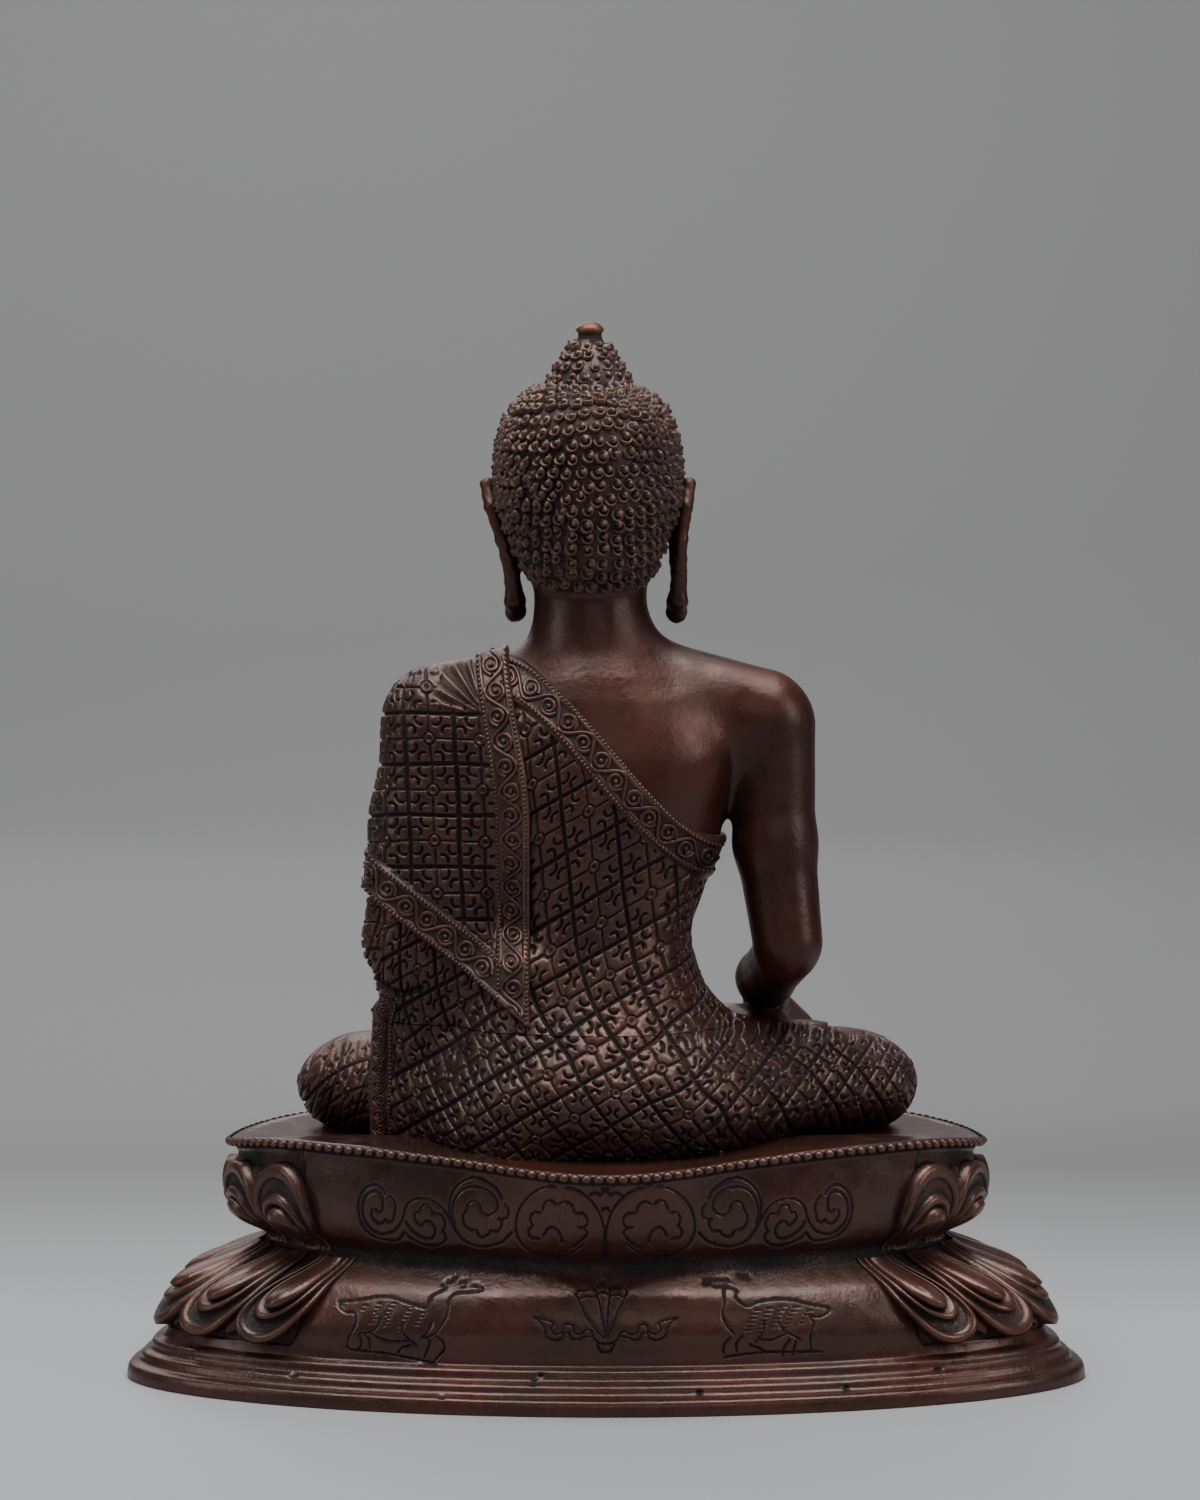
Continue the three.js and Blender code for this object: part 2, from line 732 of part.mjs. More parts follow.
// The plinth's outline at each level: [height, half width, middle y, back depth, front depth, bulge]
const LEVELS = [
  [0, 142.2, 24, 57.6, 132.6, 0],
  [4.2, 141.4, 23.8, 56.8, 131.6, 0],
  [5.2, 138.6, 23.3, 54, 129.4, 0],
  [7.6, 137.4, 23, 52.6, 128.4, 0],
  [8.6, 135.2, 22.7, 50.4, 126.2, 0],
  [11.2, 134.4, 22.4, 49.4, 125.4, 0],
  [12.3, 131.4, 22, 47.4, 122.5, 0],
  [22, 127.6, 18.4, 51.4, 115.5, 0],
  [31, 115.6, 12, 54.6, 103, 0],
  [39.5, 101, 6, 52.4, 88, 3],
  [45.5, 107.6, 3.6, 58.4, 91.5, 6],
  [53, 111.4, 1.6, 62.6, 93, 9],
  [63.8, 111, 0, 63, 92.5, 13],
];
const RIM_LEVEL = LEVELS.at(-1)[0];
function plinthPoint(angle, z, out = 0) {
  const [half, middle, back, front, bulge] = [1, 2, 3, 4, 5].map((c) => readRows(LEVELS, z, c));
  const [c, s] = [Math.cos(angle), Math.sin(angle)];
  const x = Math.sign(c) * Math.abs(c) ** 1.04 * half;
  let y = middle + (s > 0 ? back : front) * Math.sign(s) * Math.abs(s) ** 1.08;
  y += s > 0 ? bulge * smooth(1 - Math.abs(x) / 44) : -0.3 * bulge * smooth(1 - Math.abs(x) / 60);
  const slope = length(c / half, s / back);
  return [x + (out * c) / half / slope, y + (out * s) / back / slope, z];
}

// Angles at equal steps along the outline at one level, between two angles
function equalSteps(count, z, from, to) {
  const fine = 2000;
  const lengths = [0];
  let before = plinthPoint(from, z);
  for (let i = 1; i <= fine; i++) {
    const p = plinthPoint(mix(from, to, i / fine), z);
    lengths.push(lengths[i - 1] + Math.hypot(p[0] - before[0], p[1] - before[1]));
    before = p;
  }
  const angles = [];
  let i = 0;
  for (let n = 0; n < count; n++) {
    while (lengths[i] < (n / count) * lengths[fine]) i++;
    angles.push(mix(from, to, i / fine));
  }
  return { angles, length: lengths[fine] };
}

// Two rings with different numbers of points, each one turn starting at the same place
function zip(first, n, second, m) {
  const triangles = [];
  let [i, j] = [0, 0];
  while (i < n || j < m) {
    const [a, b] = [first + (i % n), second + (j % m)];
    if (j >= m || (i < n && (i + 1) / n <= (j + 1) / m)) {
      i++;
      triangles.push([a, first + (i % n), b]);
    } else {
      j++;
      triangles.push([a, second + (j % m), b]);
    }
  }
  return triangles;
}

// Angles round a whole turn, with one exactly where the back meets the front
function turnSteps(count, z) {
  const back = equalSteps(1, z, 0, Math.PI).length;
  const front = equalSteps(1, z, Math.PI, 2 * Math.PI).length;
  const share = Math.round((count * back) / (back + front));
  const backAngles = equalSteps(share, z, 0, Math.PI).angles;
  const frontAngles = equalSteps(count - share, z, Math.PI, 2 * Math.PI).angles;
  return [...backAngles, ...frontAngles];
}

// The body is a stack of outlines. The rim ends in a row of beads, four faces each.
function plinthBody() {
  const angles = turnSteps(PLINTH_COLUMNS, RIM_LEVEL);
  const rings = LEVELS.map(([z]) => angles.map((a) => plinthPoint(a, z)));
  const { points, triangles } = ringSolid(rings, [0, 0, 0], [0, 0, PLINTH_TOP]);
  triangles.splice(-PLINTH_COLUMNS);
  const beads = Math.round(equalSteps(1, RIM_LEVEL, 0, 2 * Math.PI).length / BEAD_PITCH);
  const between = turnSteps(beads, RIM_LEVEL);
  const middles = between.map((a, i) => mix(a, i + 1 < beads ? between[i + 1] : 2 * Math.PI, 0.5));
  const level = (list, out, z) => list.map((a) => [...plinthPoint(a, RIM_LEVEL, out).slice(0, 2), z]);
  const [under, over] = [points.length, points.length + beads];
  const [tips, seat] = [points.length + 2 * beads, points.length + 3 * beads];
  points.push(...level(between, 0.6, 65), ...level(between, 0.4, 67.8), ...level(middles, 3.1, 66.5));
  points.push(...level(angles, -1.2, PLINTH_TOP), [0, 0, PLINTH_TOP]);
  triangles.push(...zip((LEVELS.length - 1) * PLINTH_COLUMNS, PLINTH_COLUMNS, under, beads));
  triangles.push(...zip(over, beads, seat, PLINTH_COLUMNS));
  for (let i = 0; i < beads; i++) {
    const j = (i + 1) % beads;
    const corners = [under + i, under + j, over + j, over + i];
    corners.forEach((c, n) => triangles.push([c, corners[(n + 1) % 4], tips + i]));
  }
  for (let i = 0; i < PLINTH_COLUMNS; i++) {
    triangles.push([seat + i, seat + ((i + 1) % PLINTH_COLUMNS), seat + PLINTH_COLUMNS]);
  }
  return { points, triangles };
}

// A lotus petal laid on the plinth: an outline, a raised rim and a tongue that swells inside it.
// Each point is [side, along], side from -1 to 1 and along from 0 at the root to 1 at the tip.
const PETAL_EDGE = [
  [0.7, 0],
  [0.98, 0.4],
  [0.84, 0.8],
  [0, 1],
  [-0.84, 0.8],
  [-0.98, 0.4],
  [-0.7, 0],
];
function petal(angle, half, stepAngle, zRoot, zTip, rise) {
  const place = ([side, along], inset, lift) => {
    const t = mix(0.42, along, inset);
    const out = lift * mix(0.55, 1, along);
    return plinthPoint(angle + side * inset * half * stepAngle, mix(zRoot, zTip, t), out);
  };
  const rings = [
    PETAL_EDGE.map((p) => plinthPoint(angle + p[0] * half * stepAngle, mix(zRoot, zTip, p[1]), -4)),
    PETAL_EDGE.map((p) => place(p, 0.94, rise * 0.7)),
  ];
  if (zTip < zRoot) rings.forEach((ring) => ring.reverse());
  return ringSolid(rings, plinthPoint(angle, mix(zRoot, zTip, 0.5), -6), place([0, 0.45], 0.3, rise * 1.35));
}
function petals() {
  const tiers = [
    { zRoot: 41, zTip: 62, rise: 4.6, level: 53, reach: 0.54 },
    { zRoot: 38, zTip: 16.4, rise: 6, level: 24, reach: 0.68 },
  ];
  const made = [];
  for (const { zRoot, zTip, rise, level, reach } of tiers) {
    const [from, to] = [Math.PI - reach, 2 * Math.PI + reach];
    const { angles, length } = equalSteps(PETALS - 1, level, from, to);
    const pitch = length / (PETALS - 1);
    for (const angle of [...angles, to]) {
      const [p, q] = [plinthPoint(angle - 0.01, level), plinthPoint(angle + 0.01, level)];
      const step = 0.02 / Math.hypot(p[0] - q[0], p[1] - q[1]);
      made.push(petal(angle, pitch * 0.49, step, zRoot, zTip, rise));
    }
  }
  return made;
}

// The two castings, each joined and then thinned once more, which clears the slivers that joining leaves
function cast(body, additions, faces) {
  const solid = additions.reduce((made, piece) => made.add(solidOf(piece)), solidOf(body));
  return geometryOf(thin(meshOf(solid), faces));
}
function figure() {
  const low = [-98, -88, PLINTH_TOP - 1];
  const high = [98, 62, 294];
  const body = thin(polygonise(figureField, low, high, GRID), FIGURE_FACES);
  return cast(body, [curlCap(), topknot(), bud()], FIGURE_FACES);
}

const copper = new THREE.MeshStandardMaterial({ color: 0x3a2420, roughness: 0.42, metalness: 0.85 });
const model = new THREE.Group();
const pieces = { buddha_figure: figure(), lotus_plinth: cast(plinthBody(), petals(), PLINTH_FACES) };
for (const [name, geometry] of Object.entries(pieces)) {
  const mesh = new THREE.Mesh(geometry, copper.clone());
  mesh.name = name;
  model.add(mesh);
}
model.position.y = MIDDLE_SHIFT;

export default model;
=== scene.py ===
# A seated figure in the earth-touching pose on its double lotus plinth, in patinated copper.
# Lengths are in millimetres until a mesh is made, and the working frame is MIDDLE_SHIFT behind the row's.
import math

import bpy
import numpy as np
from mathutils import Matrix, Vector


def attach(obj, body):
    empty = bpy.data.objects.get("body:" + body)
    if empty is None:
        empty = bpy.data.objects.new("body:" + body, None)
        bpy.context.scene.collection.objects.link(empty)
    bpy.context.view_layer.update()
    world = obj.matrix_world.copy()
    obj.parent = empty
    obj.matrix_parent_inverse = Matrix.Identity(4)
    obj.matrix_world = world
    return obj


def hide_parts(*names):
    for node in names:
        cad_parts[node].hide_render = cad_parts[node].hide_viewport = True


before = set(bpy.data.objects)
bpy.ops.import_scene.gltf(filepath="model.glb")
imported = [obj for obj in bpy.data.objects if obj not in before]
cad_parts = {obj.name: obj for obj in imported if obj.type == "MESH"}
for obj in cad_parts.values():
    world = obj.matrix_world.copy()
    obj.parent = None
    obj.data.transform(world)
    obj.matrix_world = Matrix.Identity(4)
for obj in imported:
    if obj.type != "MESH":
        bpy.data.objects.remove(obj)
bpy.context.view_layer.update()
rng = np.random.default_rng(7)

# Driving dimensions, the same as the solids'
MM = 0.001
PLINTH_TOP = 67.0
SEAT_GAP = 0.3
MIDDLE_SHIFT = 13.5
HEAD_X = 5.4
CLOTH = 1.1
HEM = 0.9
NECK_BORDER = 9.8
FLAP_BORDER = 9.8

# The photograph's camera, in the working frame
VIEW_DISTANCE = 1410.0
EYE_X = 1.8
EYE_HEIGHT = 298.3
PIXEL = 0.3  # size of a pixel on the plane y = 0
MIDDLE_PX = (606.0, 366.0)  # the pixel of x = 0 at eye height
FOCAL_PX = 4733.0
TILT_PX = 382.8
PHOTO_HEIGHT = 1500.0
SENSOR = 36.0


# Field helpers: each field takes arrays x, y, z and is negative inside
def mix(a, b, t):
    return a + (b - a) * t


def smooth(v):
    t = np.clip(v, 0.0, 1.0)
    return t * t * (3 - 2 * t)


def soft_min(a, b, k):
    h = np.maximum(k - np.abs(a - b), 0) / k
    return np.minimum(a, b) - h * h * k / 4


def soft_max(a, b, k):
    return -soft_min(-a, -b, k)


def length(*parts):
    return np.sqrt(sum(p * p for p in parts))


def read_rows(rows, z):
    """The columns of rows of [height, value, value ...], smoothly between the rows."""
    table = np.array(rows, float)
    heights, values = table[:, 0], table[:, 1:]
    last = len(table) - 1
    z = np.clip(z, heights[0], heights[-1])
    i = np.clip(np.searchsorted(heights, z, side="left") - 1, 0, last - 1)
    slopes = np.zeros_like(values)
    slopes[1:-1] = (values[2:] - values[:-2]) / (heights[2:] - heights[:-2])[:, None]
    slopes[0] = (values[1] - values[0]) / (heights[1] - heights[0])
    slopes[-1] = (values[-1] - values[-2]) / (heights[-1] - heights[-2])
    step = heights[i + 1] - heights[i]
    t = ((z - heights[i]) / step)[..., None]
    step = step[..., None]
    t2 = t * t
    t3 = t2 * t
    found = (2 * t3 - 3 * t2 + 1) * values[i] + (3 * t2 - 2 * t3) * values[i + 1]
    found += ((t3 - 2 * t2 + t) * slopes[i] + (t3 - t2) * slopes[i + 1]) * step
    return np.moveaxis(found, -1, 0)


def limb(a, b, ra, rb, stretch=(1, 1, 1)):
    s = np.array(stretch, float)
    a = np.array(a, float) * s
    along = np.array(b, float) * s - a
    length2 = along @ along
    least = 1 / s.max()

    def field(x, y, z):
        px, py, pz = x * s[0] - a[0], y * s[1] - a[1], z * s[2] - a[2]
        t = np.clip((px * along[0] + py * along[1] + pz * along[2]) / length2, 0, 1)
        reach = length(px - along[0] * t, py - along[1] * t, pz - along[2] * t)
        return (reach - mix(ra, rb, t)) * least

    return field


def ball(c, r, roundness=2):
    least = min(r)

    def field(x, y, z):
        level = length((x - c[0]) / r[0], (y - c[1]) / r[1])
        up = np.abs((z - c[2]) / r[2])
        if roundness == 2:
            return (length(level, up) - 1) * least
        return ((level**roundness + up**roundness) ** (1 / roundness) - 1) * least

    return field


def joined(fields, k):
    def field(x, y, z):
        d = fields[0](x, y, z)
        for other in fields[1:]:
            d = soft_min(d, other(x, y, z), k)
        return d

    return field


def chain(points, k=2, stretch=(1, 1, 1)):
    pairs = zip(points, points[1:])
    return joined([limb(a[:3], b[:3], a[3], b[3], stretch) for a, b in pairs], k)


def mirrored(field, centre=0.0):
    return lambda x, y, z: field(2 * centre - x, y, z)


def near(field, low, high, margin=6.0):
    """A small form's field, worked out only in its own box. Elsewhere it is the distance to the box."""
    low, high = np.array(low, float), np.array(high, float)

    def limited(x, y, z):
        sides = [np.maximum(np.maximum(low[i] - v, v - high[i]), 0) for i, v in enumerate((x, y, z))]
        d = length(*sides) + margin * 0.5
        close = d < margin * 1.5
        if close.any():
            d[close] = field(x[close], y[close], z[close])
        return d

    return limited


# The torso: height, middle x, half width, back y, front y
TORSO = [
    [88, 1, 37, 50, -18],
    [100, 1, 34, 45, -20],
    [110, 1.5, 31.5, 41, -21],
    [121, 2, 28, 36.5, -21],
    [131, 2.4, 26.6, 33.5, -21],
    [140, 2.5, 29.2, 33, -21.5],
    [148, 2.6, 32.4, 33.5, -22],
    [158, 2.8, 36.4, 34.5, -23],
    [172, 3, 39.5, 36, -24],
    [186, 3, 42, 35, -21],
    [200, 3, 34, 30, -13],
    [210, 3.5, 22, 24, -7],
]


def torso(x, y, z):
    cx, half, back, front = read_rows(TORSO, z)
    deep = (back - front) / 2
    around = length((x - cx) / half, (y - (back + front) / 2) / deep) - 1
    over = np.maximum(z - 205, 85 - z)
    return soft_max(around * np.minimum(half, deep), over, 6)


# The crossed legs, with cloth filling the space under the upper shin and hanging on the left
THIGH_FLAT = (1, 1, 1.55)
SHIN_FLAT = (1, 1, 1.4)
thighs = joined(
    [
        limb([22, 20, 81], [70, -27, 79.5], 25, 20.5, THIGH_FLAT),
        limb([-36, 7, 91], [-62, -7, 90], 11.5, 10.5),
        limb([-22, 20, 81], [-70, -27, 80.5], 25, 22.2, THIGH_FLAT),
        ball([0, 8, 82], [48, 47, 27]),
    ],
    9,
)
shins = joined(
    [
        limb([70, -29, 79], [-12, -54, 76], 19.5, 13, SHIN_FLAT),
        limb([-70, -29, 79], [12, -60, 82.5], 19.5, 13, SHIN_FLAT),
        limb([-62, -34, 71], [6, -54, 71], 16, 14, SHIN_FLAT),
    ],
    1.5,
)
legs = joined([thighs, shins], 7)
drape = joined(
    [
        limb([50.5, 4, 111], [48.5, 4, 73], 16, 18),
        limb([22, 20, 114], [22, 24, 74], 16, 27),
        limb([37, 6, 186], [43, 7, 122], 16, 15),
    ],
    12,
)
left_arm = chain(
    [
        [49.5, 5, 191.5, 13.8],
        [54.5, 7, 164, 13.6],
        [58.5, 10, 128, 12.6],
        [44, -18, 118, 11.5],
        [27, -38, 110, 10],
    ]
)
shoulders = joined(
    [
        limb([-4, 6, 207.5], [-46, 4, 196.5], 13, 12.4),
        limb([12, 6, 204], [49, 5, 193.5], 13.5, 13.4),
    ],
    4,
)


def clothed(x, y, z):
    d = soft_min(torso(x, y, z), legs(x, y, z), 12)
    d = soft_min(d, shoulders(x, y, z), 10)
    d = soft_min(d, drape(x, y, z), 5)
    return soft_min(d, left_arm(x, y, z), 8)


# The robe's upper edge runs from the left of the neck to the right armpit
def neckline(x):
    return 159.8 + 55.2 * smooth((x + 36) / 70)


def under_neckline(x, z):
    return (neckline(x) - z) * 0.72


# The end of the robe hangs over the left shoulder down to a point
def flap_edge(z):
    return 22.4 + 6.7 * smooth((z - 165) / 55)


def inside_flap(x, y, z):
    end = 108.9 + (x - 26) * 0.765 - 2.4 * np.maximum(-5 - y, 0)
    return np.minimum(x - flap_edge(z), (z - end) * 0.79)


def band(distance, width):
    return smooth((distance + 0.4) / 1.4) * smooth((width - distance + 0.4) / 1.4)


# The robe's side hem stands up as a ridge over the left hip
HEM_RIDGE_X = 67
HEM_EDGE = -67.5  # where it lies on the view plane
hem_ridge = chain([[63.5, 11, 114, 1.8], [66.3, 10, 107, 3.2], [67, 9, 92, 3.5], [67, 9, 70, 3.5]], 1, [1, 0.6, 1])


def robe(x, y, z):
    d = soft_min(clothed(x, y, z) - CLOTH, hem_ridge(x, y, z), 1.2)
    return soft_max(d, -under_neckline(x, z), 0.8)


def flap(x, y, z):
    return soft_max(clothed(x, y, z) - 2 * CLOTH, -inside_flap(x, y, z), 0.8)


# Neck, head and face
H = HEAD_X
neck = chain([[3.5, 6, 204, 20], [4.4, 3.5, 219, 16.4], [4.8, 2, 240, 17]], 4)
round_skull = ball([H, 0.5, 263], [26.8, 31.5, 30.2], 2.9)


def skull(x, y, z):
    """The skull, narrower below the ears."""
    return round_skull(H + (x - H) / (1 - 0.13 * smooth((259 - z) / 15)), y, z)


nape = ball([H - 1, 7, 243], [18.5, 20, 13])
face = joined([ball([H, -9, 247], [21.5, 20.5, 20.5]), ball([H, -22.5, 232.8], [7, 6, 5.5])], 6)


def both(field):
    return joined([field, mirrored(field, H)], 0.5)


nose = chain([[H, -29.5, 259, 1.6], [H, -33.2, 250.5, 2.3], [H, -33.6, 248.3, 3]], 2)
nostrils = both(ball([H + 2.9, -31, 247.3], [2, 2.6, 1.9]))
eye_hollows = both(ball([H + 9.8, -34, 256], [7, 4.6, 3.6]))
eyes = both(ball([H + 9.4, -24.4, 254.8], [6.2, 5, 3.4]))
lids = both(chain([[H + 4.4, -29.2, 253.6, 0.45], [H + 9.4, -30, 252.9, 0.5], [H + 14.6, -27.4, 254.2, 0.45]], 1))
brows = both(chain([[H + 3, -28.9, 259, 0.8], [H + 9, -28.7, 261.6, 0.9], [H + 17, -24, 259.5, 0.6]], 1.5))
lips = joined(
    [
        chain([[H - 7, -27.2, 241.3, 0.8], [H, -29.7, 240.9, 1.4], [H + 7, -27.2, 241.3, 0.8]], 1),
        chain([[H - 5.5, -27.6, 239.6, 0.8], [H, -29.1, 238.3, 1.7], [H + 5.5, -27.6, 239.6, 0.8]], 1),
    ],
    0.6,
)


def ear(side, out):
    def at(x, y, z, r):
        return [H + side * (x + out * float(smooth((262 - z) / 30))), y, z, r]

    rim = [
        at(25, -5, 252, 1.8),
        at(28.5, -4, 260, 1.9),
        at(30, 1, 263.5, 2),
        at(28.8, 5, 257, 2),
        at(25.5, 5.5, 247, 2),
        at(23.2, 3, 237, 2.2),
        at(22.4, 1, 229, 3.1),
        at(22.2, -1.5, 225.8, 3.0),
        at(22.4, -4.5, 230, 2.2),
        at(23.4, -5, 240, 2),
    ]
    inner = limb(at(26, 0, 259, 0)[:3], at(22.8, 0, 238, 0)[:3], 3.6, 3.0, [1.3, 0.7, 1])
    return joined([chain(rim, 1), inner], 1)


ears = near(joined([ear(1, -0.6), ear(-1, 4.3)], 0.5), [-36, -9, 220], [44, 10, 268])
features = near(
    lambda x, y, z: soft_min(joined([nose, nostrils], 1)(x, y, z), lips(x, y, z), 1),
    [H - 12, -42, 230],
    [H + 12, -24, 264],
)


def bare_head(x, y, z):
    return soft_min(soft_min(skull(x, y, z), nape(x, y, z), 5), face(x, y, z), 5)


def head(x, y, z):
    d = bare_head(x, y, z)
    d = soft_max(d, -eye_hollows(x, y, z), 3)
    d = soft_min(d, eyes(x, y, z), 2)
    d = soft_min(d, lids(x, y, z), 0.6)
    d = soft_min(d, brows(x, y, z), 2)
    d = soft_min(d, features(x, y, z), 2.2)
    return soft_min(d, ears(x, y, z), 1.2)


# Right arm, with the hand over the knee and the fingertips reaching for the ground
right_arm = chain([[-49.3, 4, 191.5, 13], [-50.4, 7, 157, 11.9], [-54, 12, 128, 10.4]], 4)
right_forearm = chain([[-53.5, 11, 125, 9.4], [-48.5, -14, 114, 8.6], [-49.5, -44, 102.5, 6.6]], 3)
FINGERS = (-1.5, -0.5, 0.5, 1.5)
right_hand = near(
    joined(
        [limb([-50.5, -46, 101.5], [-56.5, -62, 93], 6.4, 7.2, [0.85, 1, 1.3])]
        + [
            chain(
                [
                    [-57 + n * 4.1, -66, 93, 2.1],
                    [-58 + n * 4.3, -74 + abs(n), 85, 1.9],
                    [-58.5 + n * 4.1, -77 + abs(n) * 1.5, 72 + abs(n) * 1.2, 1.5],
                ],
                1,
            )
            for n in FINGERS
        ]
        + [chain([[-50, -52, 99, 2.8], [-46, -62, 93, 2.3], [-45.5, -69, 85, 1.8]], 1)],
        0.9,
    ),
    [-68, -82, 66],
    [-42, -38, 110],
)
left_hand = near(
    joined(
        [limb([24, -40, 110], [2, -46, 108], 6, 8, [1, 0.9, 1.6])]
        + [
            chain(
                [
                    [-4, -46 + n * 4.2, 108.5, 2.3],
                    [-15, -44 + n * 4.1, 109.5, 2],
                    [-25 + abs(n) * 2, -42 + n * 3.8, 109.5, 1.6],
                ],
                1,
            )
            for n in FINGERS
        ]
        + [chain([[10, -51, 112, 2.9], [2, -56, 114, 2.5], [-5, -55, 115.5, 1.9]], 1)],
        1,
    ),
    [-30, -62, 98],
    [32, -30, 122],
)


def foot(side, lift):
    toes = [
        limb(
            [side * (51 - n * 0.6), -7.5 - n * 4.2, 98 + lift],
            [side * (59 - n * 1.2), -5 - n * 4.6, 96.5 + lift],
            3.4 if n == 4 else 2.6,
            3.2 if n == 4 else 2.3,
        )
        for n in range(5)
    ]
    sole = [
        limb([side * 8, -48, 92 + lift], [side * 22, -33, 97 + lift], 8.5, 8.2, [1, 1, 1.3]),
        limb([side * 22, -33, 97 + lift], [side * 47, -15, 97.5 + lift], 8, 9.4, [1, 1, 1.5]),
    ]
    ends = sorted([side * 64, side * -2])
    return near(joined(sole + toes, 1.5), [ends[0], -60, 82], [ends[1], 2, 108])


left_foot = foot(-1, 1.8)
right_foot = foot(1, 0.8)


def skin(x, y, z):
    """The body without its cloth, with the bare arm, hands, feet, neck and head."""
    d = clothed(x, y, z)
    spread = mix(1.5, 6, smooth((z - neckline(x) + 4) / 12))
    d = soft_min(d, right_arm(x, y, z), spread)
    d = soft_min(d, soft_min(right_forearm(x, y, z), right_hand(x, y, z), 2), 1.5)
    d = soft_min(d, soft_min(neck(x, y, z), head(x, y, z), 2.5), 10)
    d = soft_min(d, left_hand(x, y, z), 1.2)
    d = soft_min(d, left_foot(x, y, z), 1)
    return soft_min(d, right_foot(x, y, z), 1)


# Sparse surface nets: a mesh of quads where a field is zero, with its points drawn onto the surface
CORNERS = np.array([[c & 1, c >> 1 & 1, c >> 2] for c in range(8)])
EDGES = [(a, b) for a in range(8) for b in range(a + 1, 8) if bin(a ^ b).count("1") == 1]
COARSE, MIDDLE = 8, 2  # cells of the grid to a coarse block and to a middle block


def gradient(field, p, h=0.05):
    d = field(*p.T)
    return d, np.stack([field(*(p + h * e).T) - d for e in np.eye(3)], 1) / h


def net(field, low, high, cell, keep=None):
    """Points, quads and normals. keep takes points and says which parts of the grid are wanted."""
    low = np.array(low, float)
    n = np.ceil((np.array(high, float) - low) / cell / COARSE).astype(int) * COARSE + 2

    def place(g):
        return low + g * cell

    def pick(corner, size, slack):
        centre = place(corner + size / 2)
        chosen = np.abs(field(*centre.T)) < size * cell * 1.35 + slack
        if keep is not None:
            chosen &= keep(centre)
        return corner[chosen]

    def refine(corner, size, smaller):
        steps = np.arange(0, size, smaller)
        inner = np.stack(np.meshgrid(steps, steps, steps, indexing="ij"), -1).reshape(-1, 3)
        return (corner[:, None] + inner).reshape(-1, 3)

    blocks = refine(np.zeros((1, 3), int), int(n.max()), COARSE)
    blocks = blocks[(blocks < n).all(1)]
    blocks = pick(blocks, COARSE, 1.0)
    blocks = pick(refine(blocks, COARSE, MIDDLE), MIDDLE, 0.1)
    cells = refine(blocks, MIDDLE, 1)

    stride = np.array([1, n[0] + 9, (n[0] + 9) * (n[1] + 9)], np.int64)
    ids = cells @ stride
    corner_steps = CORNERS @ stride
    known = np.unique((ids[:, None] + corner_steps).ravel())
    rest, i = np.divmod(known, stride[1])
    k, j = np.divmod(rest, stride[2] // stride[1])
    values = field(*place(np.stack([i, j, k], 1)).T)
    at = values[np.searchsorted(known, ids[:, None] + corner_steps)]
    inside = at < 0
    active = inside.any(1) & ~inside.all(1)
    cells, ids, at, inside = cells[active], ids[active], at[active], inside[active]
    order = np.argsort(ids)
    cells, ids, at, inside = cells[order], ids[order], at[order], inside[order]

    total = np.zeros((len(ids), 3))
    count = np.zeros(len(ids))
    for a, b in EDGES:
        crossed = inside[:, a] != inside[:, b]
        t = at[crossed, a] / (at[crossed, a] - at[crossed, b])
        total[crossed] += CORNERS[a] + t[:, None] * (CORNERS[b] - CORNERS[a])
        count[crossed] += 1
    points = place(cells + total / count[:, None])

    quads = []
    for axis in range(3):
        u, v = (axis + 1) % 3, (axis + 2) % 3
        crossed = inside[:, 0] != inside[:, 1 << axis]
        outward = inside[crossed, 0]
        base = ids[crossed]
        around = np.stack([base, base - stride[u], base - stride[u] - stride[v], base - stride[v]], 1)
        found = np.searchsorted(ids, around)
        found = np.clip(found, 0, len(ids) - 1)
        whole = (ids[found] == around).all(1)
        found, outward = found[whole], outward[whole]
        found[~outward] = found[~outward][:, ::-1]
        quads.append(found)
    quads = np.concatenate(quads)
    for _ in range(2):
        d, g = gradient(field, points)
        step = d / np.maximum((g * g).sum(1), 0.05)
        points = points - g * np.clip(step, -cell, cell)[:, None]
    g = gradient(field, points)[1]
    normals = g / np.maximum(length(*g.T), 1e-6)[:, None]
    return points, quads, normals


def without(points, quads, hidden):
    """Drops the faces whose points are all hidden, and the points that no face uses."""
    quads = quads[~hidden[quads].all(1)]
    used = np.zeros(len(points), bool)
    used[quads] = True
    number = np.cumsum(used) - 1
    return used, number[quads]


# Materials
def tone_at(field, points, normals, reach):
    """How far a point lies in a hollow (negative) or on an edge (positive), from the field itself."""
    outside = field(*(points + normals * reach).T) / reach
    inside = -field(*(points - normals * reach).T) / reach
    return np.clip(outside - 1, -1, 0) + np.clip(1 - inside, 0, 1)


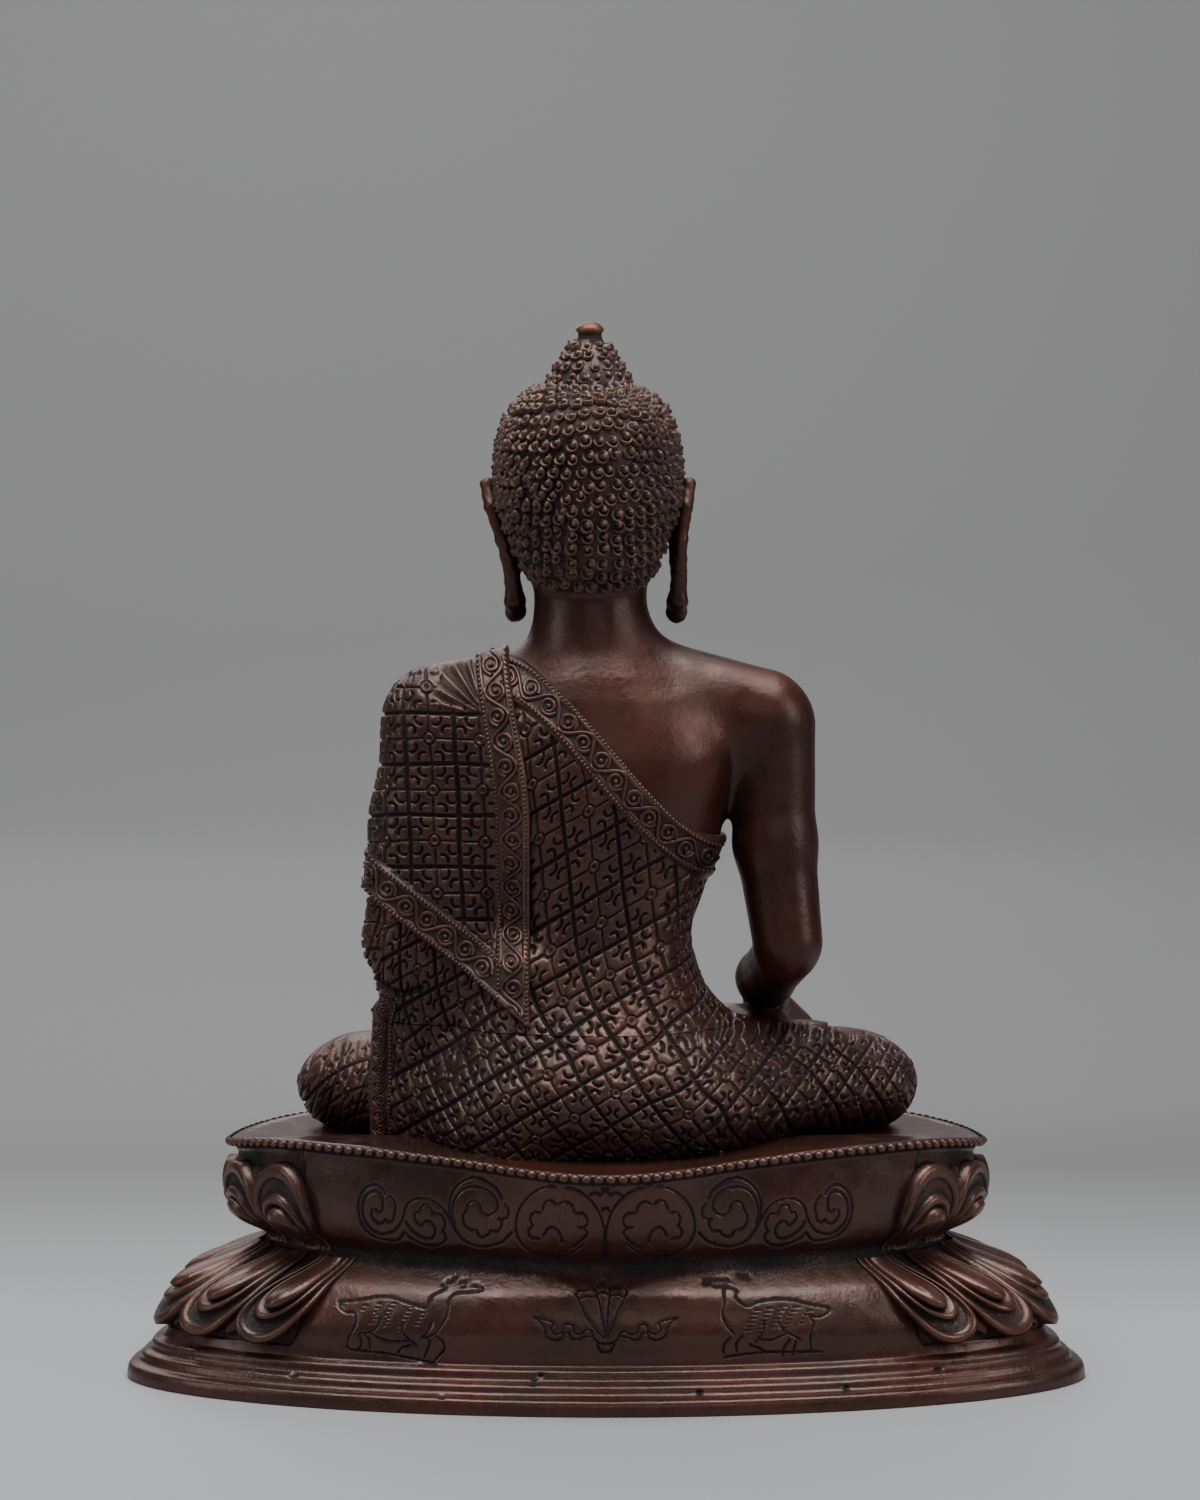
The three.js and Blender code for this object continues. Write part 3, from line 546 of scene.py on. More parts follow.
def copper(name, patina, worn, recess_and_painted_shade, roughness, stipple=0.0, polish=0.0):
    """Dark patina, worn to copper on the edges and black in hollow places and in the painted shade, as the tone
    attribute says.
    """
    material = bpy.data.materials.new(name)
    material.use_nodes = True
    tree = material.node_tree
    shader = tree.nodes["Principled BSDF"]
    make = tree.nodes.new
    link = tree.links.new
    place = make("ShaderNodeTexCoord").outputs["Object"]

    def ranged(value, low, high, to_low=0.0, to_high=1.0):
        ramp = make("ShaderNodeMapRange")
        ramp.interpolation_type = "SMOOTHSTEP"
        ramp.inputs["From Min"].default_value = low
        ramp.inputs["From Max"].default_value = high
        ramp.inputs["To Min"].default_value = to_low
        ramp.inputs["To Max"].default_value = to_high
        link(value, ramp.inputs["Value"])
        return ramp.outputs["Result"]

    def noise(scale, detail, low, high):
        texture = make("ShaderNodeTexNoise")
        texture.inputs["Scale"].default_value = scale
        texture.inputs["Detail"].default_value = detail
        link(place, texture.inputs["Vector"])
        return ranged(texture.outputs["Fac"], 0.3, 0.7, low, high)

    def maths(kind, a, b):
        node = make("ShaderNodeMath")
        node.operation = kind
        for socket, value in zip(node.inputs, (a, b)):
            if isinstance(value, float):
                socket.default_value = value
            else:
                link(value, socket)
        return node.outputs[0]

    def blend(factor, a, b):
        node = make("ShaderNodeMix")
        node.data_type = "RGBA"
        link(factor, node.inputs["Factor"])
        for socket, value in ((node.inputs[6], a), (node.inputs[7], b)):
            if isinstance(value, tuple):
                socket.default_value = (*value, 1)
            else:
                link(value, socket)
        return node.outputs[2]

    tone = make("ShaderNodeAttribute")
    tone.attribute_name = "tone"
    cloudy = maths("ADD", tone.outputs["Fac"], noise(60, 4, -0.15, 0.15))
    cloudy = maths("ADD", cloudy, noise(900, 3, -0.1, 0.1))
    edges = ranged(cloudy, 0.1, 0.8)
    # Low tone stands for the patina of hollow places and also for the painted shade that some pieces mark.
    hollows_and_painted_shade = ranged(cloudy, -0.75, -0.15, 1.0, 0.0)
    redder = (patina[0] * 1.9, patina[1] * 1.25, patina[2] * 1.05)
    body = blend(noise(28, 5, 0.0, 1.0), patina, redder)
    body = blend(edges, body, worn)
    body = blend(hollows_and_painted_shade, body, recess_and_painted_shade)
    link(body, shader.inputs["Base Color"])
    link(maths("ADD", maths("MULTIPLY", edges, 0.45), 0.3), shader.inputs["Metallic"])
    rough = maths("ADD", noise(140, 4, roughness - 0.05, roughness + 0.09), maths("MULTIPLY", hollows_and_painted_shade, 0.4))
    if polish:
        standing = make("ShaderNodeSeparateXYZ")
        link(make("ShaderNodeNewGeometry").outputs["Normal"], standing.inputs[0])
        rough = maths("SUBTRACT", rough, ranged(standing.outputs["Z"], 0.9, 0.99, 0.0, polish))
    link(rough, shader.inputs["Roughness"])
    shader.inputs["Specular IOR Level"].default_value = 0.62
    shader.inputs["Specular Tint"].default_value = (1.0, 0.87, 0.82, 1)
    bump = make("ShaderNodeBump")
    bump.inputs["Strength"].default_value = 0.3
    bump.inputs["Distance"].default_value = 0.0002
    height = maths("ADD", noise(700, 3, 0.0, 0.5), noise(160, 3, 0.0, 0.4))
    if stipple:
        dots = make("ShaderNodeTexVoronoi")
        dots.inputs["Scale"].default_value = stipple
        link(place, dots.inputs["Vector"])
        punched = ranged(dots.outputs["Distance"], 0.15, 0.5, -5.0, 0.0)
        height = maths("ADD", height, maths("MULTIPLY", punched, hollows_and_painted_shade))
    link(height, bump.inputs["Height"])
    link(bump.outputs["Normal"], shader.inputs["Normal"])
    return material


PATINA = (0.030, 0.0138, 0.011)
# Near black, for the patina of hollow places and for painted shade.
RECESS_AND_PAINTED_SHADE = (0.005, 0.004, 0.004)
SKIN = copper("skin_copper", (0.033, 0.0098, 0.0062), (0.11, 0.047, 0.031), RECESS_AND_PAINTED_SHADE, 0.36)
CLOTH_COPPER = copper("robe_copper", PATINA, (0.14, 0.076, 0.058), RECESS_AND_PAINTED_SHADE, 0.32)
HAIR = copper("hair_copper", (0.046, 0.029, 0.0245), (0.21, 0.11, 0.076), RECESS_AND_PAINTED_SHADE, 0.34)
FINIAL = copper("finial_copper", (0.06, 0.026, 0.018), (0.24, 0.1, 0.06), (0.03, 0.018, 0.014), 0.36)
PLINTH = copper("plinth_copper", (0.038, 0.0175, 0.014), (0.15, 0.076, 0.056), RECESS_AND_PAINTED_SHADE, 0.27, 1300, 0.14)


# Meshes
def row_frame(points):
    return (np.asarray(points) + [0, MIDDLE_SHIFT, 0]) * MM


def uneven_seat(points):
    """The plinth's points with the seat's rim a little higher over both sides of the back, as it was cast."""
    x, y, z = points.T
    x = np.abs(x)
    rise = 1.8 + 3.4 * smooth((x - 10) / 65) - 3.0 * smooth((x - 85) / 42)
    rise = rise * smooth((z - 46) / 20) * smooth((y + 10) / 40)
    return points + np.outer(rise, [0, 0, 1])


def piece(name, points, faces, tone, material, node, most=0):
    """A piece that rides on the body and stands for a node of the solids, thinned to most triangles."""
    if node == "lotus_plinth":
        points = uneven_seat(points)
    mesh = bpy.data.meshes.new(name)
    mesh.vertices.add(len(points))
    mesh.vertices.foreach_set("co", row_frame(points).astype(np.float32).ravel())
    corners = np.concatenate([np.asarray(f).ravel() for f in faces])
    sizes = np.concatenate([np.full(len(f), np.asarray(f).shape[1]) for f in faces])
    mesh.loops.add(len(corners))
    mesh.loops.foreach_set("vertex_index", corners.astype(np.int32))
    mesh.polygons.add(len(sizes))
    starts = np.concatenate([[0], np.cumsum(sizes)[:-1]])
    mesh.polygons.foreach_set("loop_start", starts.astype(np.int32))
    mesh.polygons.foreach_set("use_smooth", np.ones(len(sizes), bool))
    mesh.update(calc_edges=True)
    layer = mesh.attributes.new("tone", "FLOAT", "POINT")
    layer.data.foreach_set("value", np.asarray(tone, np.float32))
    mesh.materials.append(material)
    made = bpy.data.objects.new(name, mesh)
    bpy.context.scene.collection.objects.link(made)
    count = int((sizes - 2).sum())
    if most and count > most:
        thinning = made.modifiers.new("thinning", "DECIMATE")
        thinning.ratio = most / count
        thinned = bpy.data.meshes.new_from_object(made.evaluated_get(bpy.context.evaluated_depsgraph_get()))
        made.modifiers.clear()
        made.data = thinned
        count = sum(len(polygon.vertices) - 2 for polygon in thinned.polygons)
    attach(made, "root")
    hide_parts(node)
    print(name, count, "triangles")
    return made


def spline(points, step=0.5):
    """An evenly stepped curve through points."""
    p = np.array(points, float)
    if len(p) < 3:
        count = max(int(length(*(p[-1] - p[0])) / step), 1)
        return p[0] + (p[-1] - p[0]) * np.linspace(0, 1, count + 1)[:, None]
    padded = np.concatenate([[2 * p[0] - p[1]], p, [2 * p[-1] - p[-2]]])
    t = np.linspace(0, 1, 13)[:-1, None]
    runs = []
    for a, b, c, d in zip(padded, padded[1:], padded[2:], padded[3:]):
        curve = 2 * b + (c - a) * t + (2 * a - 5 * b + 4 * c - d) * t**2 + (3 * b - a - 3 * c + d) * t**3
        runs.append(curve / 2)
    fine = np.concatenate(runs + [p[-1:]])
    run = np.concatenate([[0], np.cumsum(length(*np.diff(fine, axis=0).T))])
    even = np.linspace(0, run[-1], max(int(round(run[-1] / step)), 1) + 1)
    return np.stack([np.interp(even, run, fine[:, i]) for i in range(fine.shape[1])], 1)


def line_distance(uv, lines, reach=1.0):
    """Distance from points of the view plane to the nearest line, up to reach."""
    found = np.full(len(uv), reach)
    for line in lines:
        low, high = line.min(0) - reach, line.max(0) + reach
        close = np.flatnonzero(((uv > low) & (uv < high)).all(1))
        if not len(close):
            continue
        q = uv[close]
        for a, b in zip(line[:-1], line[1:]):
            ab = b - a
            t = np.clip(((q - a) @ ab) / max(ab @ ab, 1e-9), 0, 1)
            d = length(*(q - a - t[:, None] * ab).T)
            found[close] = np.minimum(found[close], d)
    return found


# The photograph's view plane: u to the image's right and v up, both in millimetres on the plane y = 0
def seen(x, y, z):
    m = (VIEW_DISTANCE - y) / VIEW_DISTANCE
    return -x / m, EYE_HEIGHT - (EYE_HEIGHT - z) / m


def from_px(points):
    p = np.array(points, float)
    return np.stack([(p[:, 0] - MIDDLE_PX[0]) * PIXEL, EYE_HEIGHT - (p[:, 1] - MIDDLE_PX[1]) * PIXEL], 1)


def dropped(field, places, behind_it=True):
    """Where lines along y through places (x, z) first meet a surface, from behind or from the front."""
    start, end, step = (66.0, -10.0, -1.0) if behind_it else (-88.0, 10.0, 1.0)
    x, z = np.asarray(places, float).T
    inner = np.full(len(x), end)
    found = np.zeros(len(x), bool)
    for y in np.arange(start, end, step):
        entered = (field(x, np.full(len(x), y), z) < 0) & ~found
        inner[entered] = y
        found |= entered
    outer = inner - step
    for _ in range(14):
        middle = (inner + outer) / 2
        inside = field(x, middle, z) < 0
        inner, outer = np.where(inside, middle, inner), np.where(inside, outer, middle)
    points = np.stack([x, outer, z], 1)
    g = gradient(field, points)[1]
    return points, g / np.maximum(length(*g.T), 1e-6)[:, None], found


# The robe's cut pattern
def groove(distance, half):
    """A cut line's depth, from 1 in its middle to 0 past its sides."""
    return np.clip((1 - np.abs(distance) / half) * 1.5, 0, 1)


def cell_relief(col, row, side):
    """Squares between deep lines, each with a ring in the middle and two crescents cut back to back in every corner."""
    u = np.abs(col - np.round(col)) * side
    v = np.abs(row - np.round(row)) * side
    s, t = side / 2 - u, side / 2 - v
    centre = length(u, v)
    deep = groove(np.minimum(s, t), 0.8)
    thin = groove(np.where(centre > 1.9, np.minimum(u, v), 9), 0.48)
    ring = np.maximum(groove(centre - 1.75, 0.38), 0.8 * groove(centre, 0.75))
    rim = np.clip(1 - np.abs(centre - 1.2) / 0.45, 0, 1)
    crescents = np.zeros_like(u)
    for a, b in ((s, t), (t, s)):
        from_middle = length(a - 5.25, b - 1.9)
        facing = (b - 1.9 - a + 5.25) / np.maximum(1.414 * from_middle, 1e-6)
        half = 0.6 * smooth((facing + 0.05) / 0.45) + 0.01
        crescents = np.maximum(crescents, groove(from_middle - 1.6, half))
    cut = np.maximum(np.maximum(deep, 0.75 * thin), np.maximum(0.65 * ring, 0.85 * crescents))
    swell = 0.25 * smooth(np.minimum(s, t) / 3.0) + 0.4 * rim
    return swell - cut, np.maximum(np.maximum(deep, 0.7 * thin), np.maximum(0.75 * ring, 0.95 * crescents))


def wave(x, y, z, pitch, seed):
    """A slow, even unevenness, so that repeated lines look drawn by hand."""
    w = 2 * math.pi / pitch
    total = np.sin(w * x + seed) + np.sin(w * y * 1.1 + 2 * seed) + np.sin(w * z * 0.9 + 3 * seed)
    return (total + np.sin(w * 1.7 * (x - z) + 5 * seed)) / 4


def knee_columns(u, v):
    """Column and row of the squares that run over the right knee, on the view plane."""
    along_it = 11.8 - np.sqrt(np.maximum(340.4 - 3.12 * (u - 27), 4)) / 1.56 + 1
    across_it = (85 + 0.09 * (u - 27) - v) / 10.8
    col = along_it - across_it / 2 + 0.27 * smooth((v - 87) / 9) + 0.2 * smooth((78 - v) / 10)
    return col - 0.5, -1.5 - along_it - across_it / 2


def robe_columns(x, y, z):
    """Column and row of the slanted squares over the back and the legs."""
    u, level = seen(x, y, z)
    v = EYE_HEIGHT - (EYE_HEIGHT - level) * 0.9766
    turn = np.arctan2(u / 32, (y - 4) / 30)
    past = np.maximum(turn - 0.75, 0)
    round_the_waist = 32 * (past - np.where(past > 0, np.sin(turn) - math.sin(0.75), 0))
    round_the_knee = 0.9 * np.maximum(-24 - y, 0)
    right_knee = smooth((u - 25) / 11) * smooth((103 - level) / 6)
    knee_col, knee_row = knee_columns(u + round_the_knee, level)
    w = u + (u > 0) * mix(round_the_knee, round_the_waist, smooth((z - 100) / 15))
    slant = 0.12 * (165 - v) + 0.0105 * np.maximum(130 - v, 0) ** 2 + 0.008 * np.maximum(-u - 22, 0) ** 2
    size = mix(17.4, 16.0, smooth((v - 105) / 40))
    bend = mix(-0.004, 0.0075, smooth((128 - v) / 25))
    rise = 0.57 * w + bend * np.clip(w - 5, 0, 90) ** 2
    col = (w - slant + 4.8) / size + 0.025 * np.maximum(97 - v, 0)
    row = (v - rise - 120.2) / 17.3 + 0.1 * smooth((110 - v) / 10) + 0.25 * smooth((u - 10) / 17) * smooth((106 - v) / 8)
    col, row = mix(col, knee_col, right_knee), mix(row, knee_row, right_knee)
    left_knee = u < HEM_EDGE
    col = np.where(left_knee, (-u - 68 + 0.7 * round_the_knee) / 9 + 0.03 * (level - 85), col)
    row = np.where(left_knee, (level - 91.5 + 0.025 * np.maximum(-68 - u, 0) ** 2) / 16.5 + 0.5, row)
    return col + 0.03 * wave(x, y, z, 47, 1.0), row + 0.03 * wave(x, y, z, 53, 2.0)


def shin_columns(x, y, z):
    """Column and row of the slanted squares round the front of the shins."""
    around = 22 * np.arctan2(z - 78, -36 - y)
    return (x + 0.6 * around) / 15, (around - 0.6 * x) / 15


def flap_columns(x, y, z):
    """Column and row of the level squares on the hanging end and the sleeve."""
    u, v = seen(x, y, z)
    v = EYE_HEIGHT - (EYE_HEIGHT - v) * 0.9766
    turn = np.arctan2(x - 50, y - 7)
    past = np.clip(turn - 0.8, 0, 2.2)
    extra = 15 * (past - np.where(past > 0, np.sin(turn) - math.sin(0.8), 0))
    col = (u - extra + 52.6 - 0.05 * (185.8 - v)) / 15.2 + 0.04 * wave(x, y, z, 47, 3.0)
    row = (v - 190.1) / 15.1 + 0.04 * wave(x, y, z, 53, 4.0)
    return col, row


def upward(normals):
    """1 where cloth stands and 0 where it lies level, which stays plain."""
    return smooth((0.985 - np.abs(normals[:, 2])) / 0.06)


# A crease under the sleeve, where it lies on the hip, carved in and painted dark as the sleeve's shade, as (x, z)
SLEEVE_CREASE = [[74, 122], [71, 120], [66.4, 116.2], [60.4, 113.4], [54.5, 115.4]]
BORDER_GROUND = 0.5  # how far the middle of a border lies below its edges
BORDER_MIDDLE = 4.9  # from a border's edge to its middle line


def border(distance, width):
    """A raised border with a sunken ground between its two edges."""
    ground = smooth((distance - 1.6) / 0.5) * smooth((width - 1.6 - distance) / 0.5)
    return HEM * band(distance, width) - BORDER_GROUND * ground, ground


def robe_relief(p, normals):
    x, y, z = p.T
    under = under_neckline(x, z)
    rim, ground = border(under, NECK_BORDER)
    on_shin = (z < 105) & (y < -42)
    columns = zip(robe_columns(x, y, z), shin_columns(x, y, z))
    height, cut = cell_relief(*[np.where(on_shin, shin, back) for back, shin in columns], 16.6)
    plain = smooth((under - NECK_BORDER - 0.3) / 0.8) * upward(normals) * smooth((hem_ridge(x, y, z) - 1) / 1)
    # Painted shade: the crease is carved and also painted dark through the cut mask, as the sleeve's shade on the hip.
    carved_crease_and_shade = smooth(1 - line_distance(np.stack([x, z], 1), [spline(SLEEVE_CREASE)], 3.0) / 1.7) * (y > 0)
    height = rim + height * plain - 1.0 * carved_crease_and_shade
    return height, np.maximum(np.maximum(cut * plain, 0.5 * ground), carved_crease_and_shade)


def flap_relief(p, normals):
    x, y, z = p.T
    in_flap = inside_flap(x, y, z)
    rim, ground = border(in_flap, FLAP_BORDER)
    height, cut = cell_relief(*flap_columns(x, y, z), 15.2)
    fan = smooth((z - 196) / 5) * smooth((53 - x) / 6) * (y > 0)
    folds = np.cos(np.arctan2(z - 196, x - 35) * 26)
    plain = smooth((in_flap - FLAP_BORDER - 0.3) / 0.8) * upward(normals)
    height = mix(height, 0.55 * folds, fan)
    cut = mix(cut, smooth(-0.3 - folds), fan)
    return rim + height * plain, np.maximum(cut * plain, 0.5 * ground)


# Where the finer cloth of the back ends
def behind(x, y, z):
    return np.where(z > 105, y + 14, y + 42)


LOW = [-98, -88, PLINTH_TOP - 1]
HIGH = [98, 62, 294]


def floor_cut(field):
    return lambda x, y, z: np.maximum(field(x, y, z), PLINTH_TOP + SEAT_GAP - z)


def robe_piece(name, field, relief, cell, wanted, hidden, most, sink=0.0):
    solid = floor_cut(field)
    points, quads, normals = net(solid, LOW, HIGH, cell, wanted)
    used, quads = without(points, quads, hidden(*points.T))
    points, normals = points[used], normals[used]
    height, cut = relief(points, normals)
    # cut darkens the cut lines, and on the robe it also paints shade along the crease under the sleeve.
    tone = 0.2 + 0.5 * tone_at(solid, points, normals, 3.0) - 1.3 * cut
    side = smooth((points[:, 2] - PLINTH_TOP - 1) / 1.5)
    points = points + normals * ((height - sink) * side)[:, None]
    return piece(name, points, [quads], tone, CLOTH_COPPER, "buddha_figure", most)


def make_robe():
    def inner(x, y, z):
        return clothed(x, y, z) < -0.7

    def under_flap(x, y, z):
        return inner(x, y, z) | ((inside_flap(x, y, z) > 2) & (flap(x, y, z) < -0.5) & (z > 101))

    fine = 0.32
    robe_piece(
        "robe_back",
        robe,
        robe_relief,
        fine,
        lambda p: (behind(*p.T) > -1) & (p[:, 2] > 103.5) & (under_neckline(p[:, 0], p[:, 2]) > -3),
        under_flap,
        130000,
    )
    robe_piece(
        "robe_seat",
        robe,
        robe_relief,
        fine,
        lambda p: (behind(*p.T) > -1) & (p[:, 2] < 105),
        under_flap,
        165000,
    )
    robe_piece(
        "robe_front",
        robe,
        robe_relief,
        0.8,
        lambda p: (behind(*p.T) < 5) & (under_neckline(p[:, 0], p[:, 2]) > -3),
        under_flap,
        45000,
        0.08,
    )
    robe_piece(
        "robe_end",
        flap,
        flap_relief,
        fine,
        lambda p: (p[:, 1] > -8) & (inside_flap(*p.T) > -3) & (p[:, 2] > 98),
        inner,
        95000,
    )
    robe_piece(
        "robe_end_front",
        flap,
        flap_relief,
        0.8,
        lambda p: (p[:, 1] < -2.5) & (inside_flap(*p.T) > -3) & (p[:, 2] > 98) & (p[:, 0] > 15),
        inner,
        20000,
        0.08,
    )


def make_skin():
    solid = floor_cut(skin)

    def under_cloth(x, y, z):
        covered = np.maximum(under_neckline(x, z), inside_flap(x, y, z))
        return (covered > 3) & (clothed(x, y, z) < 0.3)

    def wanted(p):
        return ~((np.maximum(under_neckline(p[:, 0], p[:, 2]), inside_flap(*p.T)) > 9) & (clothed(*p.T) < -3))

    points, quads, normals = net(solid, LOW, HIGH, 0.55, wanted)
    used, quads = without(points, quads, under_cloth(*points.T))
    points, normals = points[used], normals[used]
    tone = 0.6 * tone_at(solid, points, normals, 2.5) + 0.3 * tone_at(solid, points, normals, 8.0)
    on_ear = smooth((np.abs(points[:, 0] - H) - 21.5) / 1.5) * smooth((points[:, 2] - 218) / 4)
    tone = tone - 0.45 * on_ear
    rough = mix(0.03 * wave(*points.T, 23, 7.0), 0.3 * wave(*points.T, 5.5, 8.0), on_ear)
    points = points + normals * rough[:, None]
    piece("bare_body", points, [quads], tone, SKIN, "buddha_figure", 90000)


# Plinth
LEVELS = [
    [0, 142.2, 24, 57.6, 132.6, 0],
    [4.2, 141.4, 23.8, 56.8, 131.6, 0],
    [5.2, 138.6, 23.3, 54, 129.4, 0],
    [7.6, 137.4, 23, 52.6, 128.4, 0],
    [8.6, 135.2, 22.7, 50.4, 126.2, 0],
    [11.2, 134.4, 22.4, 49.4, 125.4, 0],
    [12.3, 131.4, 22, 47.4, 122.5, 0],
    [22, 127.6, 18.4, 51.4, 115.5, 0],
    [31, 115.6, 12, 54.6, 103, 0],
    [39.5, 101, 6, 52.4, 88, 3],
    [45.5, 107.6, 3.6, 58.4, 91.5, 6],
    [53, 111.4, 1.6, 62.6, 93, 9],
    [63.8, 111, 0, 63, 92.5, 13],
]


def plinth_point(angle, z, out=0.0):
    half, middle, back, front, bulge = read_rows(LEVELS, z)
    c, s = np.cos(angle), np.sin(angle)
    depth = np.where(s > 0, back, front)
    x = np.sign(c) * np.abs(c) ** 1.04 * half
    y = middle + depth * np.sign(s) * np.abs(s) ** 1.08
    y = y + np.where(s > 0, bulge * smooth(1 - np.abs(x) / 44), -0.3 * bulge * smooth(1 - np.abs(x) / 60))
    slope = length(c / half, s / back)
    return np.stack([x + out * c / half / slope, y + out * s / back / slope, z + 0 * x], -1)


# Drawings cut into the back of the plinth, each in the photograph's pixels from its own corner and scale
MIRROR_PX = 605.0
SCROLLS = {
    "corner": (340, 1170),
    "scale": 0.1786,
    "mirrored": True,
    "lines": [
        [(247, 183), (225, 155), (180, 142), (130, 160), (100, 200), (95, 255), (115, 310), (155, 355), (210, 385),
         (290, 402), (330, 390), (352, 355), (375, 375), (415, 403), (470, 425), (520, 430), (565, 415), (588, 385),
         (575, 355)],
        [(190, 245), (215, 262), (232, 235), (228, 195), (200, 172), (160, 175), (128, 200), (118, 240), (128, 290),
         (165, 335), (220, 362), (280, 355), (320, 325), (345, 285), (358, 245), (385, 215), (430, 200), (490, 203),
         (545, 225), (585, 260), (625, 320), (645, 350), (690, 400), (760, 432), (830, 432), (900, 410), (945, 370),
         (958, 355)],
        [(268, 190), (290, 205), (305, 235), (295, 265)],
        [(298, 268), (290, 295), (268, 305), (245, 292)],
        [(245, 295), (222, 312), (190, 300), (168, 270), (172, 245)],
        [(565, 352), (582, 322), (572, 285), (545, 265), (513, 265)],
        [(513, 265), (500, 240), (475, 225), (450, 235), (440, 258)],
        [(440, 260), (415, 262), (408, 285), (430, 310), (450, 322), (470, 302), (500, 305), (525, 340), (515, 380),
         (480, 390), (430, 368), (385, 335), (360, 300)],
        [(905, 190), (870, 140), (810, 105), (745, 92), (680, 115), (630, 160), (608, 215), (612, 280), (640, 340)],
        [(785, 255), (820, 272), (860, 255), (878, 215), (850, 170), (800, 145), (735, 138), (680, 155), (640, 195),
         (622, 250), (636, 310)],
        [(785, 255), (778, 225), (750, 205), (715, 215), (700, 250)],
        [(700, 252), (682, 275), (688, 310), (710, 335), (738, 345)],
        [(755, 345), (770, 372), (800, 380), (830, 362), (835, 350)],
        [(840, 350), (880, 348), (898, 318), (898, 292), (880, 290)],
        [(900, 292), (928, 280), (940, 245), (918, 215)],
        [(1470, 500), (1480, 400), (1470, 310), (1425, 220), (1350, 155), (1260, 122), (1170, 122), (1080, 155),
         (1010, 220), (980, 300), (985, 370), (1020, 430), (1080, 470), (1180, 488), (1290, 470), (1360, 420)],
        [(1235, 410), (1228, 370), (1200, 335), (1165, 335), (1135, 375)],
        [(1110, 390), (1065, 385), (1050, 350), (1075, 322)],
        [(1070, 318), (1060, 280), (1085, 255), (1122, 260)],
        [(1130, 243), (1145, 205), (1180, 195), (1210, 215)],
        [(1225, 215), (1260, 200), (1298, 218), (1307, 250)],
        [(1320, 258), (1362, 262), (1385, 300), (1362, 335), (1330, 330)],
        [(1362, 338), (1380, 362), (1350, 402), (1300, 440)],
        [(1395, 165), (1430, 154), (1460, 168)],
        [(1462, 162), (1484, 140), (1506, 138)],
        [(1462, 248), (1484, 236), (1506, 234)],
    ],
}
LEFT_DEER = {
    "corner": (320, 1260),
    "scale": 0.2041,
    "mirrored": False,
    "lines": [
        [(85, 210), (200, 200), (280, 185), (350, 190), (420, 215), (510, 242), (525, 210), (545, 180), (605, 145),
         (604, 135), (590, 112), (610, 110), (630, 105), (650, 92), (690, 108), (790, 140), (770, 155), (710, 162),
         (655, 170), (625, 205), (620, 250), (605, 300), (580, 340), (550, 375), (490, 395)],
        [(85, 210), (90, 240), (120, 262), (160, 265), (165, 310), (150, 350), (130, 390), (122, 430), (135, 450)],
        [(290, 290), (275, 330), (240, 360), (190, 368)],
        [(185, 370), (192, 420), (180, 450)],
        [(205, 375), (232, 400), (235, 445)],
        [(232, 365), (280, 393), (330, 408), (440, 408)],
        [(395, 320), (400, 370), (465, 432)],
        [(440, 430), (400, 440), (370, 470)],
        [(500, 395), (530, 410), (505, 490)],
        [(560, 385), (595, 410), (600, 455), (555, 505)],
        [(540, 315), (520, 360), (490, 390)],
        [(140, 452), (240, 462), (350, 478), (560, 518)],
        [(688, 133), (702, 131)],
    ],
}
RIGHT_DEER = {
    "corner": (520, 1260),
    "scale": 0.2168,
    "mirrored": False,
    "lines": [
        [(1005, 140), (1000, 180), (1050, 220), (1100, 200), (1180, 187), (1260, 190), (1340, 210), (1430, 228),
         (1415, 255), (1375, 270), (1340, 262), (1360, 300), (1345, 360), (1350, 430)],
        [(1195, 290), (1225, 335), (1300, 375)],
        [(1110, 375), (1160, 380), (1230, 350)],
        [(940, 130), (945, 200), (935, 250), (950, 300), (990, 350)],
        [(975, 365), (945, 400), (940, 440)],
        [(1030, 360), (1000, 395), (1005, 435)],
        [(1130, 290), (1125, 340), (1090, 390)],
        [(1060, 400), (1130, 430)],
        [(1250, 375), (1225, 410), (1215, 455)],
        [(1280, 380), (1260, 450)],
        [(945, 460), (1100, 440), (1250, 436), (1400, 435)],
        [(850, 95), (960, 88), (1090, 60)],
        [(835, 105), (900, 122), (960, 125), (1000, 140)],
    ],
}
EMBLEM = {
    "corner": (520, 1260),
    "scale": 0.2168,
    "mirrored": False,
    "lines": [
        [(255, 155), (270, 138), (300, 140), (320, 128), (340, 130), (365, 200), (392, 370)],
        [(255, 155), (300, 260), (380, 370)],
        [(345, 132), (375, 108), (410, 130), (402, 240), (396, 370)],
        [(345, 132), (370, 240), (390, 370)],
        [(420, 126), (455, 122), (490, 145), (450, 250), (402, 370)],
        [(420, 126), (408, 240), (398, 370)],
        [(270, 185), (300, 170), (330, 175), (347, 165)],
        [(352, 160), (378, 146), (406, 160)],
        [(416, 165), (450, 158), (480, 175)],
        [(330, 345), (350, 385), (395, 400), (440, 385), (460, 350)],
        [(355, 400), (365, 428), (390, 440), (420, 430), (435, 400)],
        [(330, 335), (300, 330), (280, 350), (250, 345), (240, 310), (205, 305), (195, 340), (160, 350), (140, 325),
         (155, 300), (120, 285), (60, 270)],
        [(325, 360), (290, 365), (262, 378), (235, 370), (225, 345), (205, 345), (190, 372), (150, 380), (115, 355),
         (110, 320), (95, 300), (60, 270)],
        [(460, 345), (485, 335), (510, 352), (540, 345), (548, 312), (580, 305), (595, 340), (630, 350), (650, 325),
         (640, 300), (670, 285), (725, 275)],
        [(462, 362), (500, 368), (528, 380), (552, 372), (562, 348), (585, 345), (600, 372), (640, 380), (672, 355),
         (680, 320), (695, 300), (725, 275)],
    ],
}
